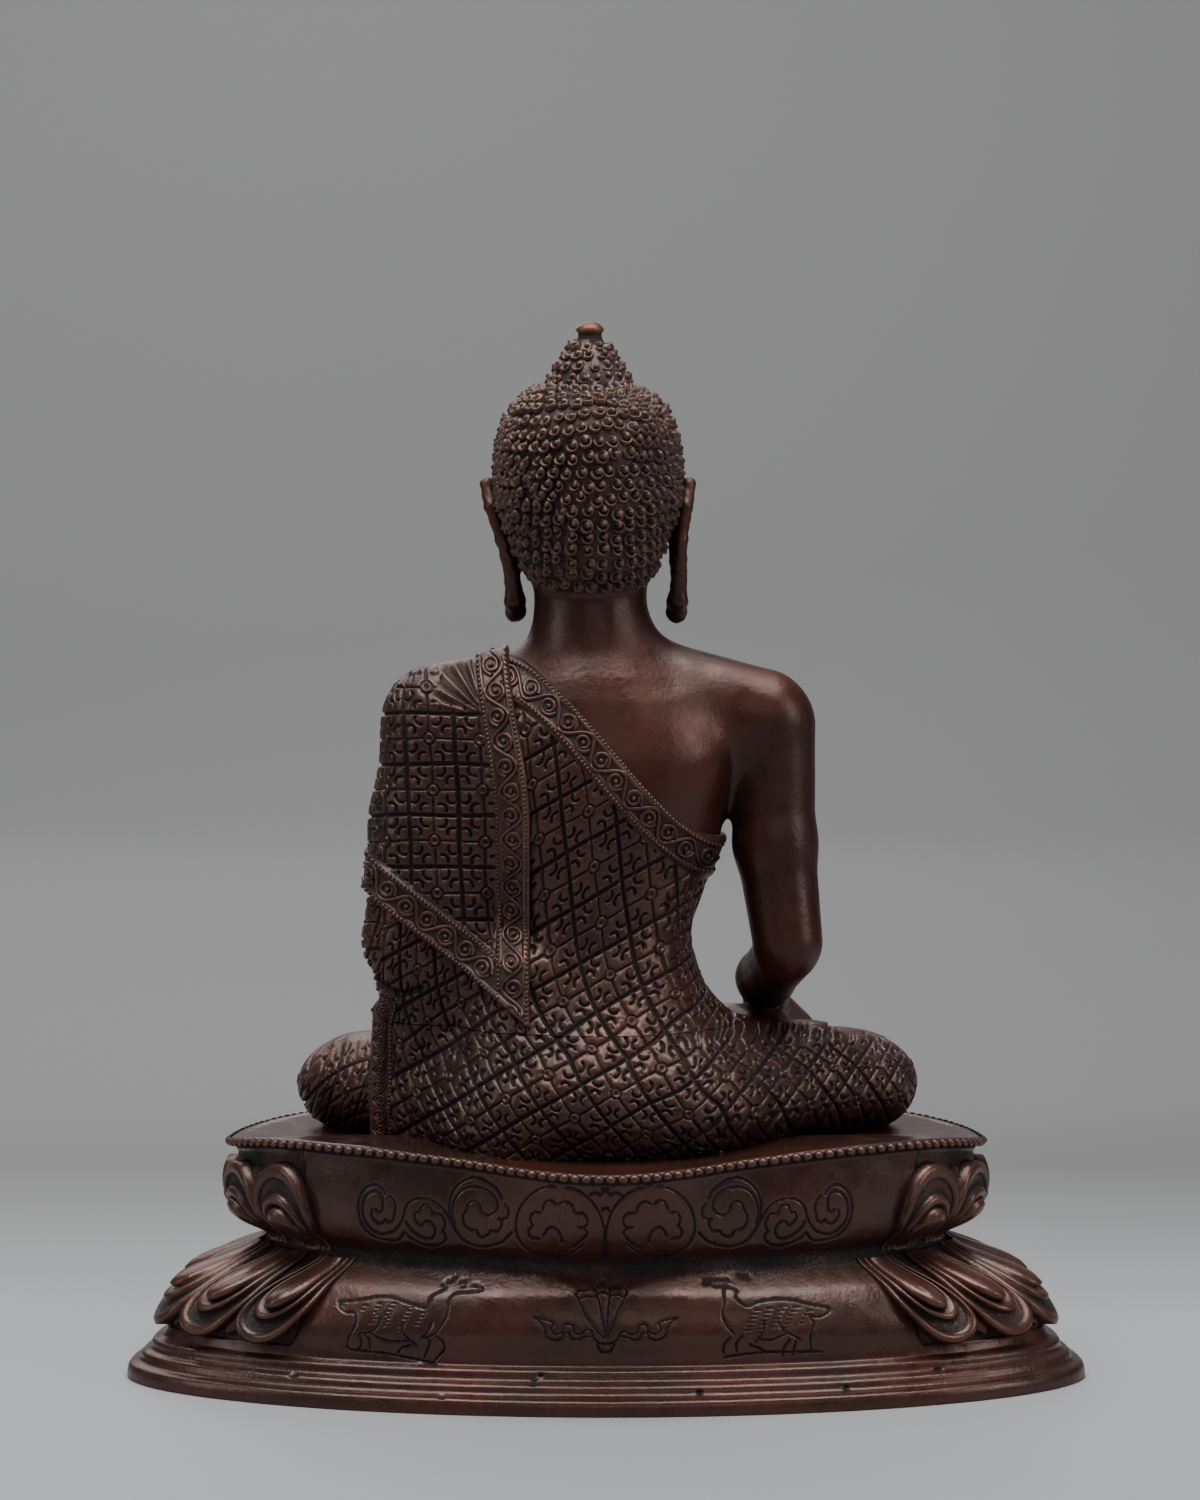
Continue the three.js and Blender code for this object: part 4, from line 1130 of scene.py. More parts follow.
# Columns of short cuts over each deer's body: the column's place, its top and its bottom
DEER_HATCH = (
    {"drawing": LEFT_DEER, "columns": [(185, 232, 262), (258, 222, 330), (325, 220, 350), (405, 240, 380), (465, 270, 340)]},
    {"drawing": RIGHT_DEER, "columns": [(1065, 240, 340), (1125, 232, 370), (1185, 225, 330), (1245, 225, 340), (1310, 240, 300)]},
)
HATCH_STEP = 19
HATCH_WIDTH = 32
LINE_HALF = 0.42  # half width of a cut line
HATCH_HALF = 0.27


def drawn(drawing):
    """A drawing's lines on the view plane."""
    lines = []
    for points in drawing["lines"]:
        px = np.array(drawing["corner"]) + np.array(points, float) * drawing["scale"]
        lines.append(spline(from_px(px)))
        if drawing["mirrored"]:
            px[:, 0] = 2 * MIRROR_PX - px[:, 0]
            lines.append(spline(from_px(px)))
    return lines


def hatched(drawing, columns):
    """Short level cuts in columns that lean with the body."""
    lines = []
    for column, top, bottom in columns:
        for row in np.arange(top, bottom, HATCH_STEP):
            start = np.array([column - 0.45 * (row - top) + 14, row])
            ends = np.array([start, start + [HATCH_WIDTH, -4]])
            lines.append(from_px(np.array(drawing["corner"]) + ends * drawing["scale"]))
    return lines


# Casting flaws in the base, as pixels of the photograph
FLAWS_PX = [(540, 1378), (533, 1386), (440, 1400), (940, 1372), (290, 1378), (700, 1395), (848, 1390), (380, 1408)]


# The smooth panels at the back end where the petals begin: u of each end at two heights v
UPPER_PANEL = {"left": (-90.3, -90.3), "right": (92.7, 92.7), "heights": (36, 66)}
LOWER_PANEL = {"left": (-94.8, -81.3), "right": (95.5, 82.0), "heights": (3, 33)}


def on_panel(points, panel):
    """Distance inside a panel from its nearer end, on the back alone."""
    u, v = seen(*points.T)
    t = (v - panel["heights"][0]) / (panel["heights"][1] - panel["heights"][0])
    inside = np.minimum(u - mix(*panel["left"], t), mix(*panel["right"], t) - u)
    return np.where(points[:, 1] > 0, inside, -9.0)


def stepped(*runs):
    """Values from run to run, each given as its start, its end and the step inside it."""
    parts = [np.linspace(a, b, max(int(round(abs(b - a) / step)), 1), endpoint=False) for a, b, step in runs]
    return np.concatenate(parts + [[runs[-1][1]]])


def wrap(name, level, heights, outs, panel, lines, hatch, closing, most):
    """A band round the plinth, with fine columns over the back panel that carries the drawings."""
    around, run = equal_steps(4000, level, 0, 2 * math.pi)
    back = equal_steps(1, level, 0, math.pi)[1]
    steps = stepped((0, 30, 1.5), (30, back - 30, 0.34), (back - 30, back + 40, 1.5), (back + 40, run, 3.0))[:-1]
    angles = np.interp(steps, np.linspace(0, run, 4001), around)
    grid = plinth_point(angles[None, :], heights[:, None], outs[:, None])
    rows, columns = grid.shape[:2]
    points = grid.reshape(-1, 3)
    across = np.roll(grid, -1, 1) - np.roll(grid, 1, 1)
    upward = np.gradient(grid, axis=0)
    normals = np.cross(across, upward).reshape(-1, 3)
    normals /= np.maximum(length(*normals.T), 1e-9)[:, None]
    inside = on_panel(points, panel)
    u, v = seen(*points.T)
    cut = np.zeros(len(points))
    where = np.flatnonzero(inside > 2)
    on_view = np.stack([u, v], 1)[where]
    cut[where] = groove(line_distance(on_view, lines), LINE_HALF)
    cut[where] = np.maximum(cut[where], 0.75 * groove(line_distance(on_view, hatch), HATCH_HALF))
    level_rows = (points[:, 2] > panel["heights"][0] + 12) & (points[:, 2] < RIM_LEVEL)
    ground = smooth(-inside / 1.2) * level_rows
    uneven = 0.12 * wave(*points.T, 31, 5.0) + 0.05 * wave(*points.T, 11, 6.0)
    points = points + normals * (uneven - 0.5 * cut - 0.6 * ground)[:, None]
    bend = np.zeros_like(grid)
    bend[1:-1] = (2 * grid[1:-1] - grid[2:] - grid[:-2]) / (length(*(upward[1:-1].T)).T ** 2)[..., None]
    bend = (bend.reshape(-1, 3) * normals).sum(1)
    flaw = np.zeros(len(points))
    for place in from_px(FLAWS_PX):
        flaw = np.maximum(flaw, smooth(1.2 - length(u - place[0], (v - place[1]) * 1.6) / 1.4) * (points[:, 1] > 0))
    points = points - normals * (0.7 * flaw)[:, None]
    # Painted shade: the lip under the rim's beads is darkened as the beads' shade.
    painted_shade_under_beads = smooth((points[:, 2] - 64) / 0.3) * smooth((66.9 - points[:, 2]) / 0.3)
    # Painted shade: the walls round the waist are darkened where the upper drum's overhang shades them.
    painted_waist_shade = smooth(1.2 - np.abs(points[:, 2] - WAIST) / 4.5)
    bend = bend * mix(0.25, 1, smooth((points[:, 2] - 13) / 2))
    tone = 0.05 + np.clip(0.2 * bend, -0.8, 0.35) - 1.4 * smooth((cut - 0.2) / 0.5) - 0.6 * ground
    tone = tone - flaw - 0.9 * painted_shade_under_beads - 0.7 * painted_waist_shade
    i = np.arange(columns)
    quads = []
    for r in range(rows - 1):
        a, b = r * columns + i, r * columns + (i + 1) % columns
        quads.append(np.stack([a, b, b + columns, a + columns], 1))
    faces = [np.concatenate(quads)]
    middle = [[0.0, 0.0, heights[-1]], [0.0, 0.0, heights[0]]]
    points = np.concatenate([points, middle])
    tone = np.concatenate([tone, [0.1, -0.5]])
    last = (rows - 1) * columns
    if closing == "top":
        faces.append(np.stack([last + i, last + (i + 1) % columns, np.full(columns, len(points) - 2)], 1))
    else:
        faces.append(np.stack([(i + 1) % columns, i, np.full(columns, len(points) - 1)], 1))
    return piece(name, points, faces, tone, PLINTH, "lotus_plinth", most)


RIM_LEVEL = 63.8
WAIST = 39.5
BEAD_PITCH = 3.4


def make_plinth():
    walls = stepped((WAIST - 1, 43.5, 0.8), (43.5, 62.5, 0.34), (62.5, RIM_LEVEL, 0.6))
    lip = [(64.2, 0.1), (64.6, 0.6), (64.9, 1.3), (65.3, 1.9), (66.6, 1.9), (67.2, 1.2), (67.35, 0.2), (67.1, -0.8)]
    lip += [(67.0, -2.0), (67.0, -6.0), (67.0, -20.0)]
    heights = np.concatenate([walls, [z for z, _ in lip]])
    outs = np.concatenate([0 * walls, [out for _, out in lip]])
    wrap("plinth_upper", 53, heights, outs, UPPER_PANEL, drawn(SCROLLS), [], "top", 88000)
    heights = stepped((0, 3.6, 0.9), (3.6, 13.2, 0.3), (13.2, 34, 0.36), (34, WAIST - 0.2, 0.8))
    lines = drawn(LEFT_DEER) + drawn(RIGHT_DEER) + drawn(EMBLEM)
    hatch = [line for body in DEER_HATCH for line in hatched(**body)]
    wrap("plinth_lower", 24, heights, 0 * heights, LOWER_PANEL, lines, hatch, "bottom", 92000)
    count = round(equal_steps(1, RIM_LEVEL, 0, 2 * math.pi)[1] / BEAD_PITCH)
    angles = equal_steps(count, RIM_LEVEL, 0, 2 * math.pi)[0][:-1]
    level = np.full(count, RIM_LEVEL)
    places = plinth_point(angles, level, 2.1)
    normals = plinth_point(angles, level, 3.1) - plinth_point(angles, level, 2.1)
    normals /= length(*normals.T)[:, None]
    places[:, 2] = 66.1
    shape = bead_shape(4, 12, (1.0, 0.82))
    turns = 0.12 * rng.standard_normal(count)
    sizes = 1.66 * rng.uniform(0.95, 1.03, count)
    points, tone, faces = stamped(shape, places, normals, sizes, rng.uniform(1.35, 1.6, count), turns)
    piece("rim_beads", points, faces, tone, PLINTH, "lotus_plinth")


def bead_shape(rings, spokes, stretch=(1.0, 1.0)):
    """A half ball that bulges steeply from its ground."""
    points, tone = [[0.0, 0.0, 1.0]], [0.5]
    for i in range(1, rings + 1):
        rho = math.sin(i / rings * math.pi / 2)
        for k in range(spokes):
            a = k / spokes * 2 * math.pi
            points.append([rho * math.cos(a) * stretch[0], rho * math.sin(a) * stretch[1], math.sqrt(1 - rho**2)])
            tone.append(mix(0.5, -1.0, float(smooth((rho - 0.8) / 0.2))))
    faces = [[0, 1 + k, 1 + (k + 1) % spokes] for k in range(spokes)]
    quads = []
    for i in range(rings - 1):
        for k in range(spokes):
            a, b = 1 + i * spokes + k, 1 + i * spokes + (k + 1) % spokes
            quads.append([a, a + spokes, b + spokes, b])
    return np.array(points), np.array(tone), np.array(faces), np.array(quads)


def equal_steps(count, z, start, end):
    fine = np.linspace(start, end, 4001)
    p = plinth_point(fine, np.full(len(fine), float(z)))
    run = np.concatenate([[0], np.cumsum(length(*np.diff(p, axis=0).T))])
    return np.interp(np.arange(count + 1) / count * run[-1], run, fine), run[-1]


# The cap of snail-shell curls
CROWN = np.array([H, 1, 262.0])
CURL_PITCH = 3.6
CURL_GAP = 3.5
CURL_RADIUS = 2.35
KNOT_MIDDLE = (H - 0.4, 1.0)


def hairline(turn):
    """Height of the hair's lower edge; turn is 0 at the back and 1 at the face."""
    return mix(mix(234.5, 250, smooth((turn - 0.3) / 0.2)), 277, smooth((turn - 0.5) / 0.22))


def turn_of(directions):
    return np.abs(np.arctan2(directions[..., 0], directions[..., 1])) / math.pi


def scalp(directions, out=0.0):
    near_r = np.full(len(directions), 10.0)
    far_r = np.full(len(directions), 50.0)
    for _ in range(20):
        r = (near_r + far_r) / 2
        inside = bare_head(*(CROWN + directions * r[:, None]).T) < 0
        near_r, far_r = np.where(inside, r, near_r), np.where(inside, far_r, r)
    return CROWN + directions * (near_r + out)[:, None]


# Rings of a curl from its knob outward: how far out, the height of the winding, where it opens and where it joins
# the knob, and the tone
CURL_RINGS = (
    (0.16, 0.98, 0.98, 0.98, 0.6),
    (0.33, 0.72, 0.66, 0.92, 0.15),
    (0.45, 0.2, 0.16, 0.85, -1.0),
    (0.56, 0.34, 0.12, 0.8, -0.6),
    (0.68, 0.84, 0.16, 0.72, 0.15),
    (0.82, 0.84, 0.16, 0.56, 0.3),
    (1.0, -0.2, -0.2, -0.2, -1.0),
)
CURL_KNOB = (0.26, 0.2)
CURL_OPENS, CURL_JOINS = 2.2, 0.4  # the directions where it opens and joins


def curl_shape(spokes):
    """One snail curl on the plane z = 0: a knob set off its middle and a crescent that winds round it."""
    points, tone = [[*CURL_KNOB, 1.0]], [0.8]
    for rho, winding, opening, joining, shade in CURL_RINGS:
        for k in range(spokes):
            a = k / spokes * 2 * math.pi
            opens = float(smooth(0.15 + math.cos(a - CURL_OPENS)))
            joins = float(smooth(0.05 + math.cos(a - CURL_JOINS)))
            x = CURL_KNOB[0] * (1 - rho) + rho * math.cos(a)
            y = CURL_KNOB[1] * (1 - rho) + rho * math.sin(a)
            points.append([x, y, mix(mix(winding, opening, opens), joining, joins)])
            tone.append(mix(mix(shade, min(shade, -0.5), opens), max(shade, 0.2) if rho < 0.9 else shade, joins))
    faces = [[0, 1 + k, 1 + (k + 1) % spokes] for k in range(spokes)]
    quads = []
    for i in range(len(CURL_RINGS) - 1):
        for k in range(spokes):
            a, b = 1 + i * spokes + k, 1 + i * spokes + (k + 1) % spokes
            quads.append([a, a + spokes, b + spokes, b])
    return np.array(points), np.array(tone), np.array(faces), np.array(quads)


def frames_on(normals):
    """Two directions across each normal."""
    up = np.where(np.abs(normals[:, 2:]) > 0.95, [[0.0, 1.0, 0.0]], [[0.0, 0.0, 1.0]])
    across = np.cross(up, normals)
    across /= length(*across.T)[:, None]
    return across, np.cross(normals, across)


def stamped(shape, places, normals, sizes, heights, turns):
    """Copies of a small shape set on a surface, as one list of points, tones and faces."""
    points, tone, faces, quads = shape
    across, along = frames_on(normals)
    c, s = np.cos(turns)[:, None], np.sin(turns)[:, None]
    across, along = c * across + s * along, c * along - s * across
    made = places[:, None] + sizes[:, None, None] * (
        points[None, :, :1] * across[:, None] + points[None, :, 1:2] * along[:, None]
    )
    made = made + heights[:, None, None] * points[None, :, 2:] * normals[:, None]
    offset = (np.arange(len(places)) * len(points))[:, None, None]
    return (
        made.reshape(-1, 3),
        np.tile(tone, len(places)),
        [(faces[None] + offset).reshape(-1, 3), (quads[None] + offset).reshape(-1, 4)],
    )


def make_curls():
    places = []
    tilt = math.radians(141)
    row = 0
    while tilt > math.radians(19):
        ring = np.array([[math.sin(tilt), 0, math.cos(tilt)]])
        reach = scalp(ring)[0, 0] - CROWN[0]
        count = max(int(round(2 * math.pi * reach / CURL_GAP)), 6)
        a = (np.arange(count) + 0.5 * (row % 2) + rng.uniform(-0.12, 0.12, count)) / count * 2 * math.pi
        slope = tilt + rng.uniform(-0.02, 0.02, count) + 0.03 * np.sin(3 * a + 0.4 * row)
        directions = np.stack([np.sin(slope) * np.cos(a), np.sin(slope) * np.sin(a), np.cos(slope)], 1)
        found = scalp(directions)
        places.append(found[found[:, 2] > hairline(turn_of(directions)) - 0.6])
        tilt -= CURL_PITCH / 29.5
        row += 1
    places = np.concatenate(places)
    g = gradient(bare_head, places)[1]
    normals = g / length(*g.T)[:, None]
    tiers = ((294.8, 10.8, 18, 0.35), (298.4, 9.1, 15, 0.5), (301.6, 6.9, 12, 0.6), (304.2, 4.9, 9, 0.8))
    for z, r, count, rise in tiers:
        a = (np.arange(count) + rng.uniform(-0.1, 0.1, count)) / count * 2 * math.pi
        out = np.stack([np.cos(a), np.sin(a), 0 * a], 1)
        places = np.concatenate([places, out * r + [*KNOT_MIDDLE, z]])
        lean = out + [0, 0, rise]
        normals = np.concatenate([normals, lean / length(*lean.T)[:, None]])
    count = len(places)
    sizes = CURL_RADIUS * rng.uniform(0.85, 1.1, count)
    heights = rng.uniform(1.8, 2.5, count)
    turns = rng.normal(0.0, 0.4, count)
    places = places + rng.normal(0.0, 0.16, (count, 3)) - 0.1 * normals
    points, tone, faces = stamped(curl_shape(11), places, normals, sizes, heights, turns)
    piece("hair_curls", points, faces, tone, HAIR, "buddha_figure")


def make_scalp():
    def cap(x, y, z):
        return bare_head(x, y, z) - 0.15

    def bald(x, y, z):
        away = np.stack([x, y, z], 1) - CROWN
        return z < hairline(turn_of(away))

    points, quads = net(cap, [-30, -40, 230], [40, 40, 298], 1.1)[:2]
    used, quads = without(points, quads, bald(*points.T))
    points = points[used]
    piece("scalp", points, [quads], np.full(len(points), -0.55), HAIR, "buddha_figure")


def lathe(profile, middle, spokes=48):
    """A closed turned shape. The profile runs from bottom to top, as [radius, height]."""
    a = np.arange(spokes) / spokes * 2 * math.pi
    rings = [np.stack([r * np.cos(a) + middle[0], r * np.sin(a) + middle[1], 0 * a + z], 1) for r, z in profile]
    points = np.concatenate(rings)
    i = np.arange(spokes)
    quads = []
    for n in range(len(profile) - 1):
        a0, b0 = n * spokes + i, n * spokes + (i + 1) % spokes
        quads.append(np.stack([a0, b0, b0 + spokes, a0 + spokes], 1))
    return points, np.concatenate(quads)


def make_topknot():
    knot = [[12.2, 289], [12.4, 294], [10.8, 296.5], [10.2, 298.5], [8.0, 300.4], [7.2, 302.6], [4.6, 305], [3.8, 306.5]]
    points, quads = lathe(knot, KNOT_MIDDLE)
    piece("topknot", points, [quads], np.full(len(points), -0.35), HAIR, "buddha_figure")
    bud = [[5.2, 303], [4.6, 305], [3.8, 306.5], [3.45, 307.6], [3.5, 308.3], [4.1, 309.0], [4.2, 309.6]]
    bud += [[3.6, 310.4], [2.6, 311.2], [1.4, 311.7], [0.02, 311.9]]
    points, quads = lathe(bud, (H - 0.6, 1.0))
    tone = mix(-0.8, 0.1, smooth((points[:, 2] - 308.3) / 0.6)) + 0.5 * smooth(1 - np.abs(points[:, 2] - 309.4) / 0.8)
    piece("finial", points, [quads], tone, FINIAL, "buddha_figure")


# Lotus petals, round the front and the sides. Each is a row of nested arches from a raised tongue out to its rim:
# half width, where the arch begins and ends along the petal, height and tone
PETAL_ARCHES = (
    (0.0, 0.3, 0.34, 1.0, 0.3),
    (0.2, 0.34, 0.42, 0.97, 0.3),
    (0.36, 0.34, 0.5, 0.8, 0.45),
    (0.44, 0.34, 0.54, 0.5, 0.3),
    (0.47, 0.34, 0.555, 0.06, -1.0),
    (0.51, 0.34, 0.575, 0.08, -1.0),
    (0.54, 0.35, 0.59, 0.42, 0.3),
    (0.61, 0.36, 0.645, 0.42, 0.5),
    (0.67, 0.37, 0.685, 0.26, 0.1),
    (0.69, 0.38, 0.695, -0.02, -0.9),
    (0.74, 0.42, 0.76, -0.04, -0.45),
    (0.8, 0.44, 0.83, 0.0, -0.5),
    (0.82, 0.44, 0.845, 0.02, -1.0),
    (0.84, 0.46, 0.86, 0.24, 0.2),
    (0.92, 0.48, 0.93, 0.3, 0.35),
    (0.99, 0.5, 0.985, 0.2, 0.45),
    (1.0, 0.5, 1.0, -0.8, -0.9),
)
PETAL_TIERS = (
    {"name": "petals_upper", "count": 19, "root": 39.5, "tip": 61.2, "rise": 4.0, "level": 53, "reach": 0.54},
    {"name": "petals_lower", "count": 23, "root": 38.5, "tip": 15.2, "rise": 7.4, "level": 24, "reach": 0.68},
)
PETAL_STEPS = 10  # steps along each leg of an arch, and round each half of its top


def petal(angle, half, step_angle, tier):
    """One petal as a grid of arches, each from one root over the top to the other root."""
    legs = np.linspace(0, 1, PETAL_STEPS + 1)[:-1]
    quarter = np.linspace(0, math.pi / 2, PETAL_STEPS + 1)
    rows, tones = [], []
    for width, begin, end, height, tone in PETAL_ARCHES:
        t = np.concatenate([legs * begin, begin + (end - begin) * np.sin(quarter)])
        s = width * np.concatenate([mix(0.72, 1, smooth(legs)), np.cos(quarter)])
        t = np.concatenate([t, t[-2::-1]])
        s = np.concatenate([-s, s[-2::-1]])
        plate = mix(0.4, 2.6, smooth(t / 0.6))
        lift = plate + tier["rise"] * height * mix(0.25, 1, smooth(t / 0.4))
        z = mix(tier["root"], tier["tip"], t)
        rows.append(plinth_point(angle + s * half * step_angle, z, lift))
        tones.append(np.full(len(t), tone))
    points = np.stack(rows)
    return points.reshape(-1, 3), np.concatenate(tones), points.shape[:2]


def petal_tip(angle, half, step_angle, tier):
    """The point of a petal behind, showing between two petals."""
    t = np.array([0.5, 0.5, 0.5, 0.78, 0.78, 0.92])
    s = np.array([-0.4, 0.0, 0.4, -0.34, 0.34, 0.0])
    lift = np.array([-0.5, 1.6, -0.5, -0.4, -0.4, 2.1])
    points = plinth_point(angle + s * half * step_angle, mix(tier["root"], tier["tip"], t), lift)
    under = plinth_point(angle, mix(tier["root"], tier["tip"], 0.95), -0.6)
    points = np.concatenate([points, under[None]])
    triangles = np.array([[0, 1, 5], [0, 5, 3], [1, 2, 5], [2, 4, 5], [3, 5, 6], [5, 4, 6]])
    return points, np.array([-0.6, 0.1, -0.6, -0.2, -0.2, 0.5, -1.0]), triangles


def make_petals():
    for tier in PETAL_TIERS:
        start, end = math.pi - tier["reach"], 2 * math.pi + tier["reach"]
        angles, run = equal_steps(tier["count"] - 1, tier["level"], start, end)
        half = run / (tier["count"] - 1) * 0.49
        points, tones, quads, triangles, base = [], [], [], [], 0
        flip = slice(None, None, -1 if tier["tip"] > tier["root"] else 1)

        def step_at(angle):
            ends = plinth_point(angle + np.array([-0.01, 0.01]), np.full(2, float(tier["level"])))
            return 0.02 / length(*(ends[1] - ends[0]))

        for angle in angles:
            p, tone, (rows, columns) = petal(angle, half, step_at(angle), tier)
            i, j = np.meshgrid(np.arange(rows - 1), np.arange(columns - 1), indexing="ij")
            a = (base + i * columns + j).ravel()
            quads.append(np.stack([a, a + 1, a + columns + 1, a + columns], 1)[:, flip])
            points.append(p)
            tones.append(tone)
            base += len(p)
        for angle in (angles[:-1] + angles[1:]) / 2:
            p, tone, faces = petal_tip(angle, half, step_at(angle), tier)
            triangles.append((base + faces)[:, flip])
            points.append(p)
            tones.append(tone)
            base += len(p)
        faces = [np.concatenate(quads), np.concatenate(triangles)]
        piece(tier["name"], np.concatenate(points), faces, np.concatenate(tones), PLINTH, "lotus_plinth")


# Borders of beads and running scrolls, laid on the cloth
BORDER_BEAD = 0.68
BORDER_PITCH = 1.28
BORDER_ROWS = 4.1  # from a border's middle to its rows of beads
VINE_PITCH = 7.2  # from scroll to scroll
VINE_SWING = 3.0  # how far the stem swings to each side
VINE_HALF = 0.7  # half width of the stem
SCROLL_TURNS = 1.2


def along(line, distances, sides):
    """Points at distances along a line and sideways from it."""
    run = np.concatenate([[0], np.cumsum(length(*np.diff(line, axis=0).T))])
    ways = np.gradient(line, axis=0)
    ways /= length(*ways.T)[:, None]
    at, way = (np.stack([np.interp(distances, run, v[:, i]) for i in (0, 1)], 1) for v in (line, ways))
    return at + np.asarray(sides)[..., None] * np.stack([-way[:, 1], way[:, 0]], 1)


def ribbon(points, normals, half, height):
    """A rounded ridge along a line on a surface, with its ends closed in the ground."""
    ahead = np.gradient(points, axis=0)
    ahead /= np.maximum(length(*ahead.T), 1e-9)[:, None]
    across = np.cross(ahead, normals)
    section = ((-1.0, -0.35), (-0.75, 0.6), (0.0, 1.0), (0.75, 0.6), (1.0, -0.35))
    rows = [points + across * (a * half) + normals * (b * height) for a, b in section]
    made = np.stack(rows, 1).reshape(-1, 3)
    k = len(section)
    i, j = np.meshgrid(np.arange(len(points) - 1), np.arange(k - 1), indexing="ij")
    a = (i * k + j).ravel()
    quads = np.stack([a, a + 1, a + k + 1, a + k], 1)
    return made, np.tile([-1.0, 0.1, 0.5, 0.1, -1.0], len(points)), [quads]


def gathered(parts):
    """Several lists of points, tones and faces as one."""
    points, tones, faces, base = [], [], [], 0
    for p, tone, more in parts:
        points.append(p)
        tones.append(tone)
        faces += [face + base for face in more]
        base += len(p)
    return np.concatenate(points), np.concatenate(tones), faces


def vine(line, lay, scale):
    """A stem that swings from side to side along a line, with a scroll and a knob in each bend."""
    pitch = VINE_PITCH * scale
    reach = length(*np.diff(line, axis=0).T).sum()
    parts, knobs = [], []
    for n in range(int(reach / pitch)):
        side = 1 if n % 2 else -1
        middle = (n + 0.5) * pitch
        d = np.linspace(middle - pitch / 2, middle + pitch / 2, 19)
        runs = [(d, side * VINE_SWING * scale * np.sin((d - n * pitch) / pitch * math.pi))]
        t = np.linspace(0, 1, 30)
        turn = -side * t * 2 * math.pi * SCROLL_TURNS
        r = scale * mix(2.75, 1.45, t**0.7)
        runs.append((middle + r * np.cos(turn), r * np.sin(turn) - 0.3 * side * scale))
        for distances, sides in runs:
            points, normals, found = lay(along(line, distances, sides))
            breaks = np.flatnonzero(np.diff(found.astype(int))) + 1
            for run in np.split(np.arange(len(found)), breaks):
                if len(run) > 3 and found[run[0]]:
                    parts.append(ribbon(points[run], normals[run], VINE_HALF * scale, 0.75 * scale))
        knobs.append(along(line, [middle], [-0.3 * side * scale])[0])
    return parts, np.array(knobs)


def beaded(line, lay, size, pitch):
    count = int(length(*np.diff(line, axis=0).T).sum() / pitch)
    places, normals, found = lay(along(line, np.arange(count) * pitch, np.zeros(count)))
    places, normals = places[found], normals[found]
    count = len(places)
    spread = rng.uniform(0.92, 1.08, (2, count))
    return stamped(bead_shape(2, 8), places - 0.1 * normals, normals, size * spread[0], size * spread[1], np.zeros(count))


def beside(line, side):
    """A line moved sideways."""
    run = np.concatenate([[0], np.cumsum(length(*np.diff(line, axis=0).T))])
    return along(line, run, np.full(len(run), side))


def make_borders():
    x = np.linspace(32, -37, 60)
    neck_line = np.stack([x, neckline(x) - BORDER_MIDDLE / 0.72], 1)
    z = np.linspace(214, 106, 60)
    upright = np.stack([flap_edge(z) + BORDER_MIDDLE, z], 1)
    x = np.linspace(73, 29, 30)
    slanted = np.stack([x, 108.9 + (x - 26) * 0.765 + BORDER_MIDDLE / 0.79], 1)
    hem = np.array([[64.5, 114.0], [66.4, 108.0], [HEM_RIDGE_X + 0.5, 100.0], [HEM_RIDGE_X + 0.5, 69.0]])
    both_rows = (-BORDER_ROWS, BORDER_ROWS)
    jobs = (
        ("robe_border", robe, robe_relief, True, 1.0, neck_line, both_rows),
        ("robe_border_front", robe, robe_relief, False, 1.0, neck_line, both_rows),
        ("end_border", flap, flap_relief, True, 1.0, upright, both_rows),
        ("end_border_low", flap, flap_relief, True, 1.0, slanted, both_rows),
        ("end_border_front", flap, flap_relief, False, 1.0, upright[:-9], both_rows),
        ("side_hem", robe, robe_relief, True, 0.62, spline(hem, 1.0), (-3.3, 3.0)),
    )
    for name, field, relief, behind_it, scale, line, rows in jobs:

        def lay(places):
            points, normals, found = dropped(field, places, behind_it)
            found &= (inside_flap(*points.T) > 0.3) == (field is flap)
            return points + normals * relief(points, normals)[0][:, None], normals, found

        parts, knobs = vine(line, lay, scale)
        places, normals, found = lay(knobs)
        places, normals = places[found], normals[found]
        size = np.full(len(places), 0.85 * scale)
        parts.append(stamped(bead_shape(3, 9), places, normals, size, size, np.zeros(len(places))))
        for side in rows:
            parts.append(beaded(beside(line, side), lay, BORDER_BEAD, BORDER_PITCH))
        points, tone, faces = gathered(parts)
        piece(name, points, faces, tone, CLOTH_COPPER, "buddha_figure")


make_skin()
make_robe()
make_borders()
make_scalp()
make_curls()
make_topknot()
make_plinth()
make_petals()


# Camera at the photograph's viewing angle, a pale floor and soft studio light
def make_camera():
    camera = bpy.data.objects.new("camera", bpy.data.cameras.new("camera"))
    bpy.context.scene.collection.objects.link(camera)
    camera.location = Vector((EYE_X, VIEW_DISTANCE + MIDDLE_SHIFT, EYE_HEIGHT)) * MM
    camera.rotation_euler = (math.pi / 2 - math.atan(TILT_PX / FOCAL_PX), 0, math.pi)
    camera.data.sensor_width = SENSOR
    camera.data.lens = SENSOR * FOCAL_PX / PHOTO_HEIGHT
    bpy.context.scene.camera = camera


# Painted light and shade on the floor: its grey from far behind the figure to its nearer end, as (Y in metres, grey)
FLOOR_PAINTED_LIGHT = ((-2.4, 0.3), (-1.4, 0.24), (-1.0, 0.2), (-0.5, 0.165), (-0.33, 0.135), (-0.18, 0.215), (-0.05, 0.315))


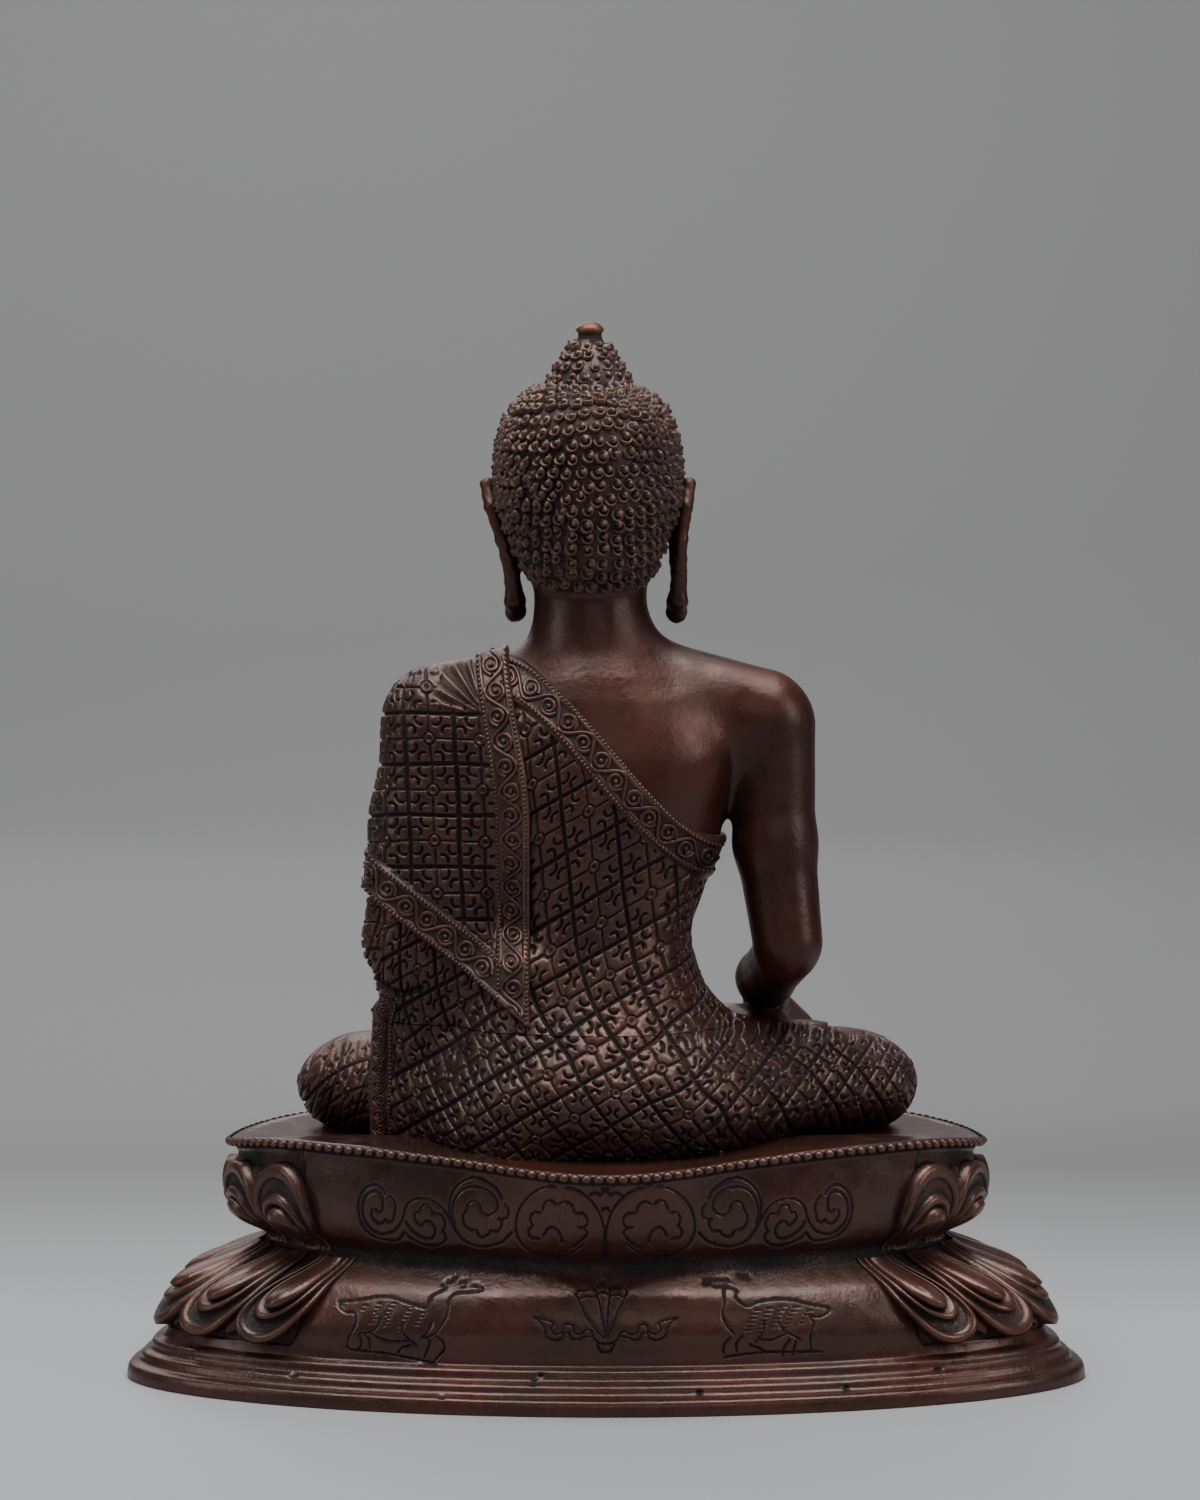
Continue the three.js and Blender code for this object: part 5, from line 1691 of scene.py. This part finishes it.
def make_floor():
    size, level_to, bend, rise = 6.0, 1.6, 0.9, 2.2
    profile = [(-size, 0.0), (level_to, 0.0)]
    for step in range(1, 17):
        a = step / 16 * math.pi / 2
        profile.append((level_to + bend * math.sin(a), bend * (1 - math.cos(a))))
    profile.append((level_to + bend, rise))
    points = [(x, -y, z) for y, z in profile for x in (-size, size)]
    quads = [(2 * i, 2 * i + 1, 2 * i + 3, 2 * i + 2) for i in range(len(profile) - 1)]
    mesh = bpy.data.meshes.new("floor")
    mesh.from_pydata(points, [], quads)
    mesh.polygons.foreach_set("use_smooth", [True] * len(quads))
    material = bpy.data.materials.new("floor_painted_light")
    material.use_nodes = True
    shader = material.node_tree.nodes["Principled BSDF"]
    make = material.node_tree.nodes.new
    link = material.node_tree.links.new
    parts = make("ShaderNodeSeparateXYZ")
    link(make("ShaderNodeNewGeometry").outputs["Position"], parts.inputs[0])
    nearness = make("ShaderNodeMapRange")
    nearness.inputs["From Min"].default_value = FLOOR_PAINTED_LIGHT[0][0]
    nearness.inputs["From Max"].default_value = FLOOR_PAINTED_LIGHT[-1][0]
    link(parts.outputs["Y"], nearness.inputs["Value"])
    # Painted light and shade: the floor's grey dips just behind the figure and rises near it and far away, standing in
    # for the fall of the light.
    shade = make("ShaderNodeValToRGB")
    stops = shade.color_ramp.elements
    span = FLOOR_PAINTED_LIGHT[-1][0] - FLOOR_PAINTED_LIGHT[0][0]
    for y, grey in FLOOR_PAINTED_LIGHT:
        place = (y - FLOOR_PAINTED_LIGHT[0][0]) / span
        stop = stops[0] if place == 0 else stops[-1] if place == 1 else stops.new(place)
        blue = 0.05 * float(smooth((y + 0.3) / 0.2))
        stop.color = (grey, grey * (1 + 0.4 * blue), grey * (1 + blue), 1)
    link(nearness.outputs["Result"], shade.inputs["Fac"])
    link(shade.outputs["Color"], shader.inputs["Base Color"])
    shader.inputs["Roughness"].default_value = 0.6
    mesh.materials.append(material)
    floor = bpy.data.objects.new("floor", mesh)
    bpy.context.scene.collection.objects.link(floor)


def light(name, place, size, power, target=(0, 0, 0.15)):
    lamp = bpy.data.lights.new(name, "AREA")
    lamp.shape = "RECTANGLE"
    lamp.size, lamp.size_y = size
    lamp.energy = power
    made = bpy.data.objects.new(name, lamp)
    made.location = place
    made.rotation_euler = (Vector(target) - Vector(place)).to_track_quat("-Z", "Y").to_euler()
    bpy.context.scene.collection.objects.link(made)


def make_light():
    world = bpy.data.worlds.new("studio")
    world.use_nodes = True
    world.node_tree.nodes["Background"].inputs[0].default_value = (0.55, 0.56, 0.6, 1)
    world.node_tree.nodes["Background"].inputs[1].default_value = 0.22
    bpy.context.scene.world = world
    light("top", (0.0, 0.15, 1.45), (1.5, 1.0), 32)
    light("left", (1.3, 0.55, 0.7), (0.5, 0.9), 3.5)
    light("right", (-1.3, 0.55, 0.75), (0.5, 0.9), 5.5)
    light("behind_camera", (-0.25, 1.8, 0.95), (1.3, 0.5), 2)
    light("front", (0.4, -1.4, 1.0), (1.2, 1.0), 5)
    light("backdrop", (0.3, -1.0, 1.6), (2.0, 0.6), 18, (0.1, -2.1, 0.2))


make_camera()
make_floor()
make_light()
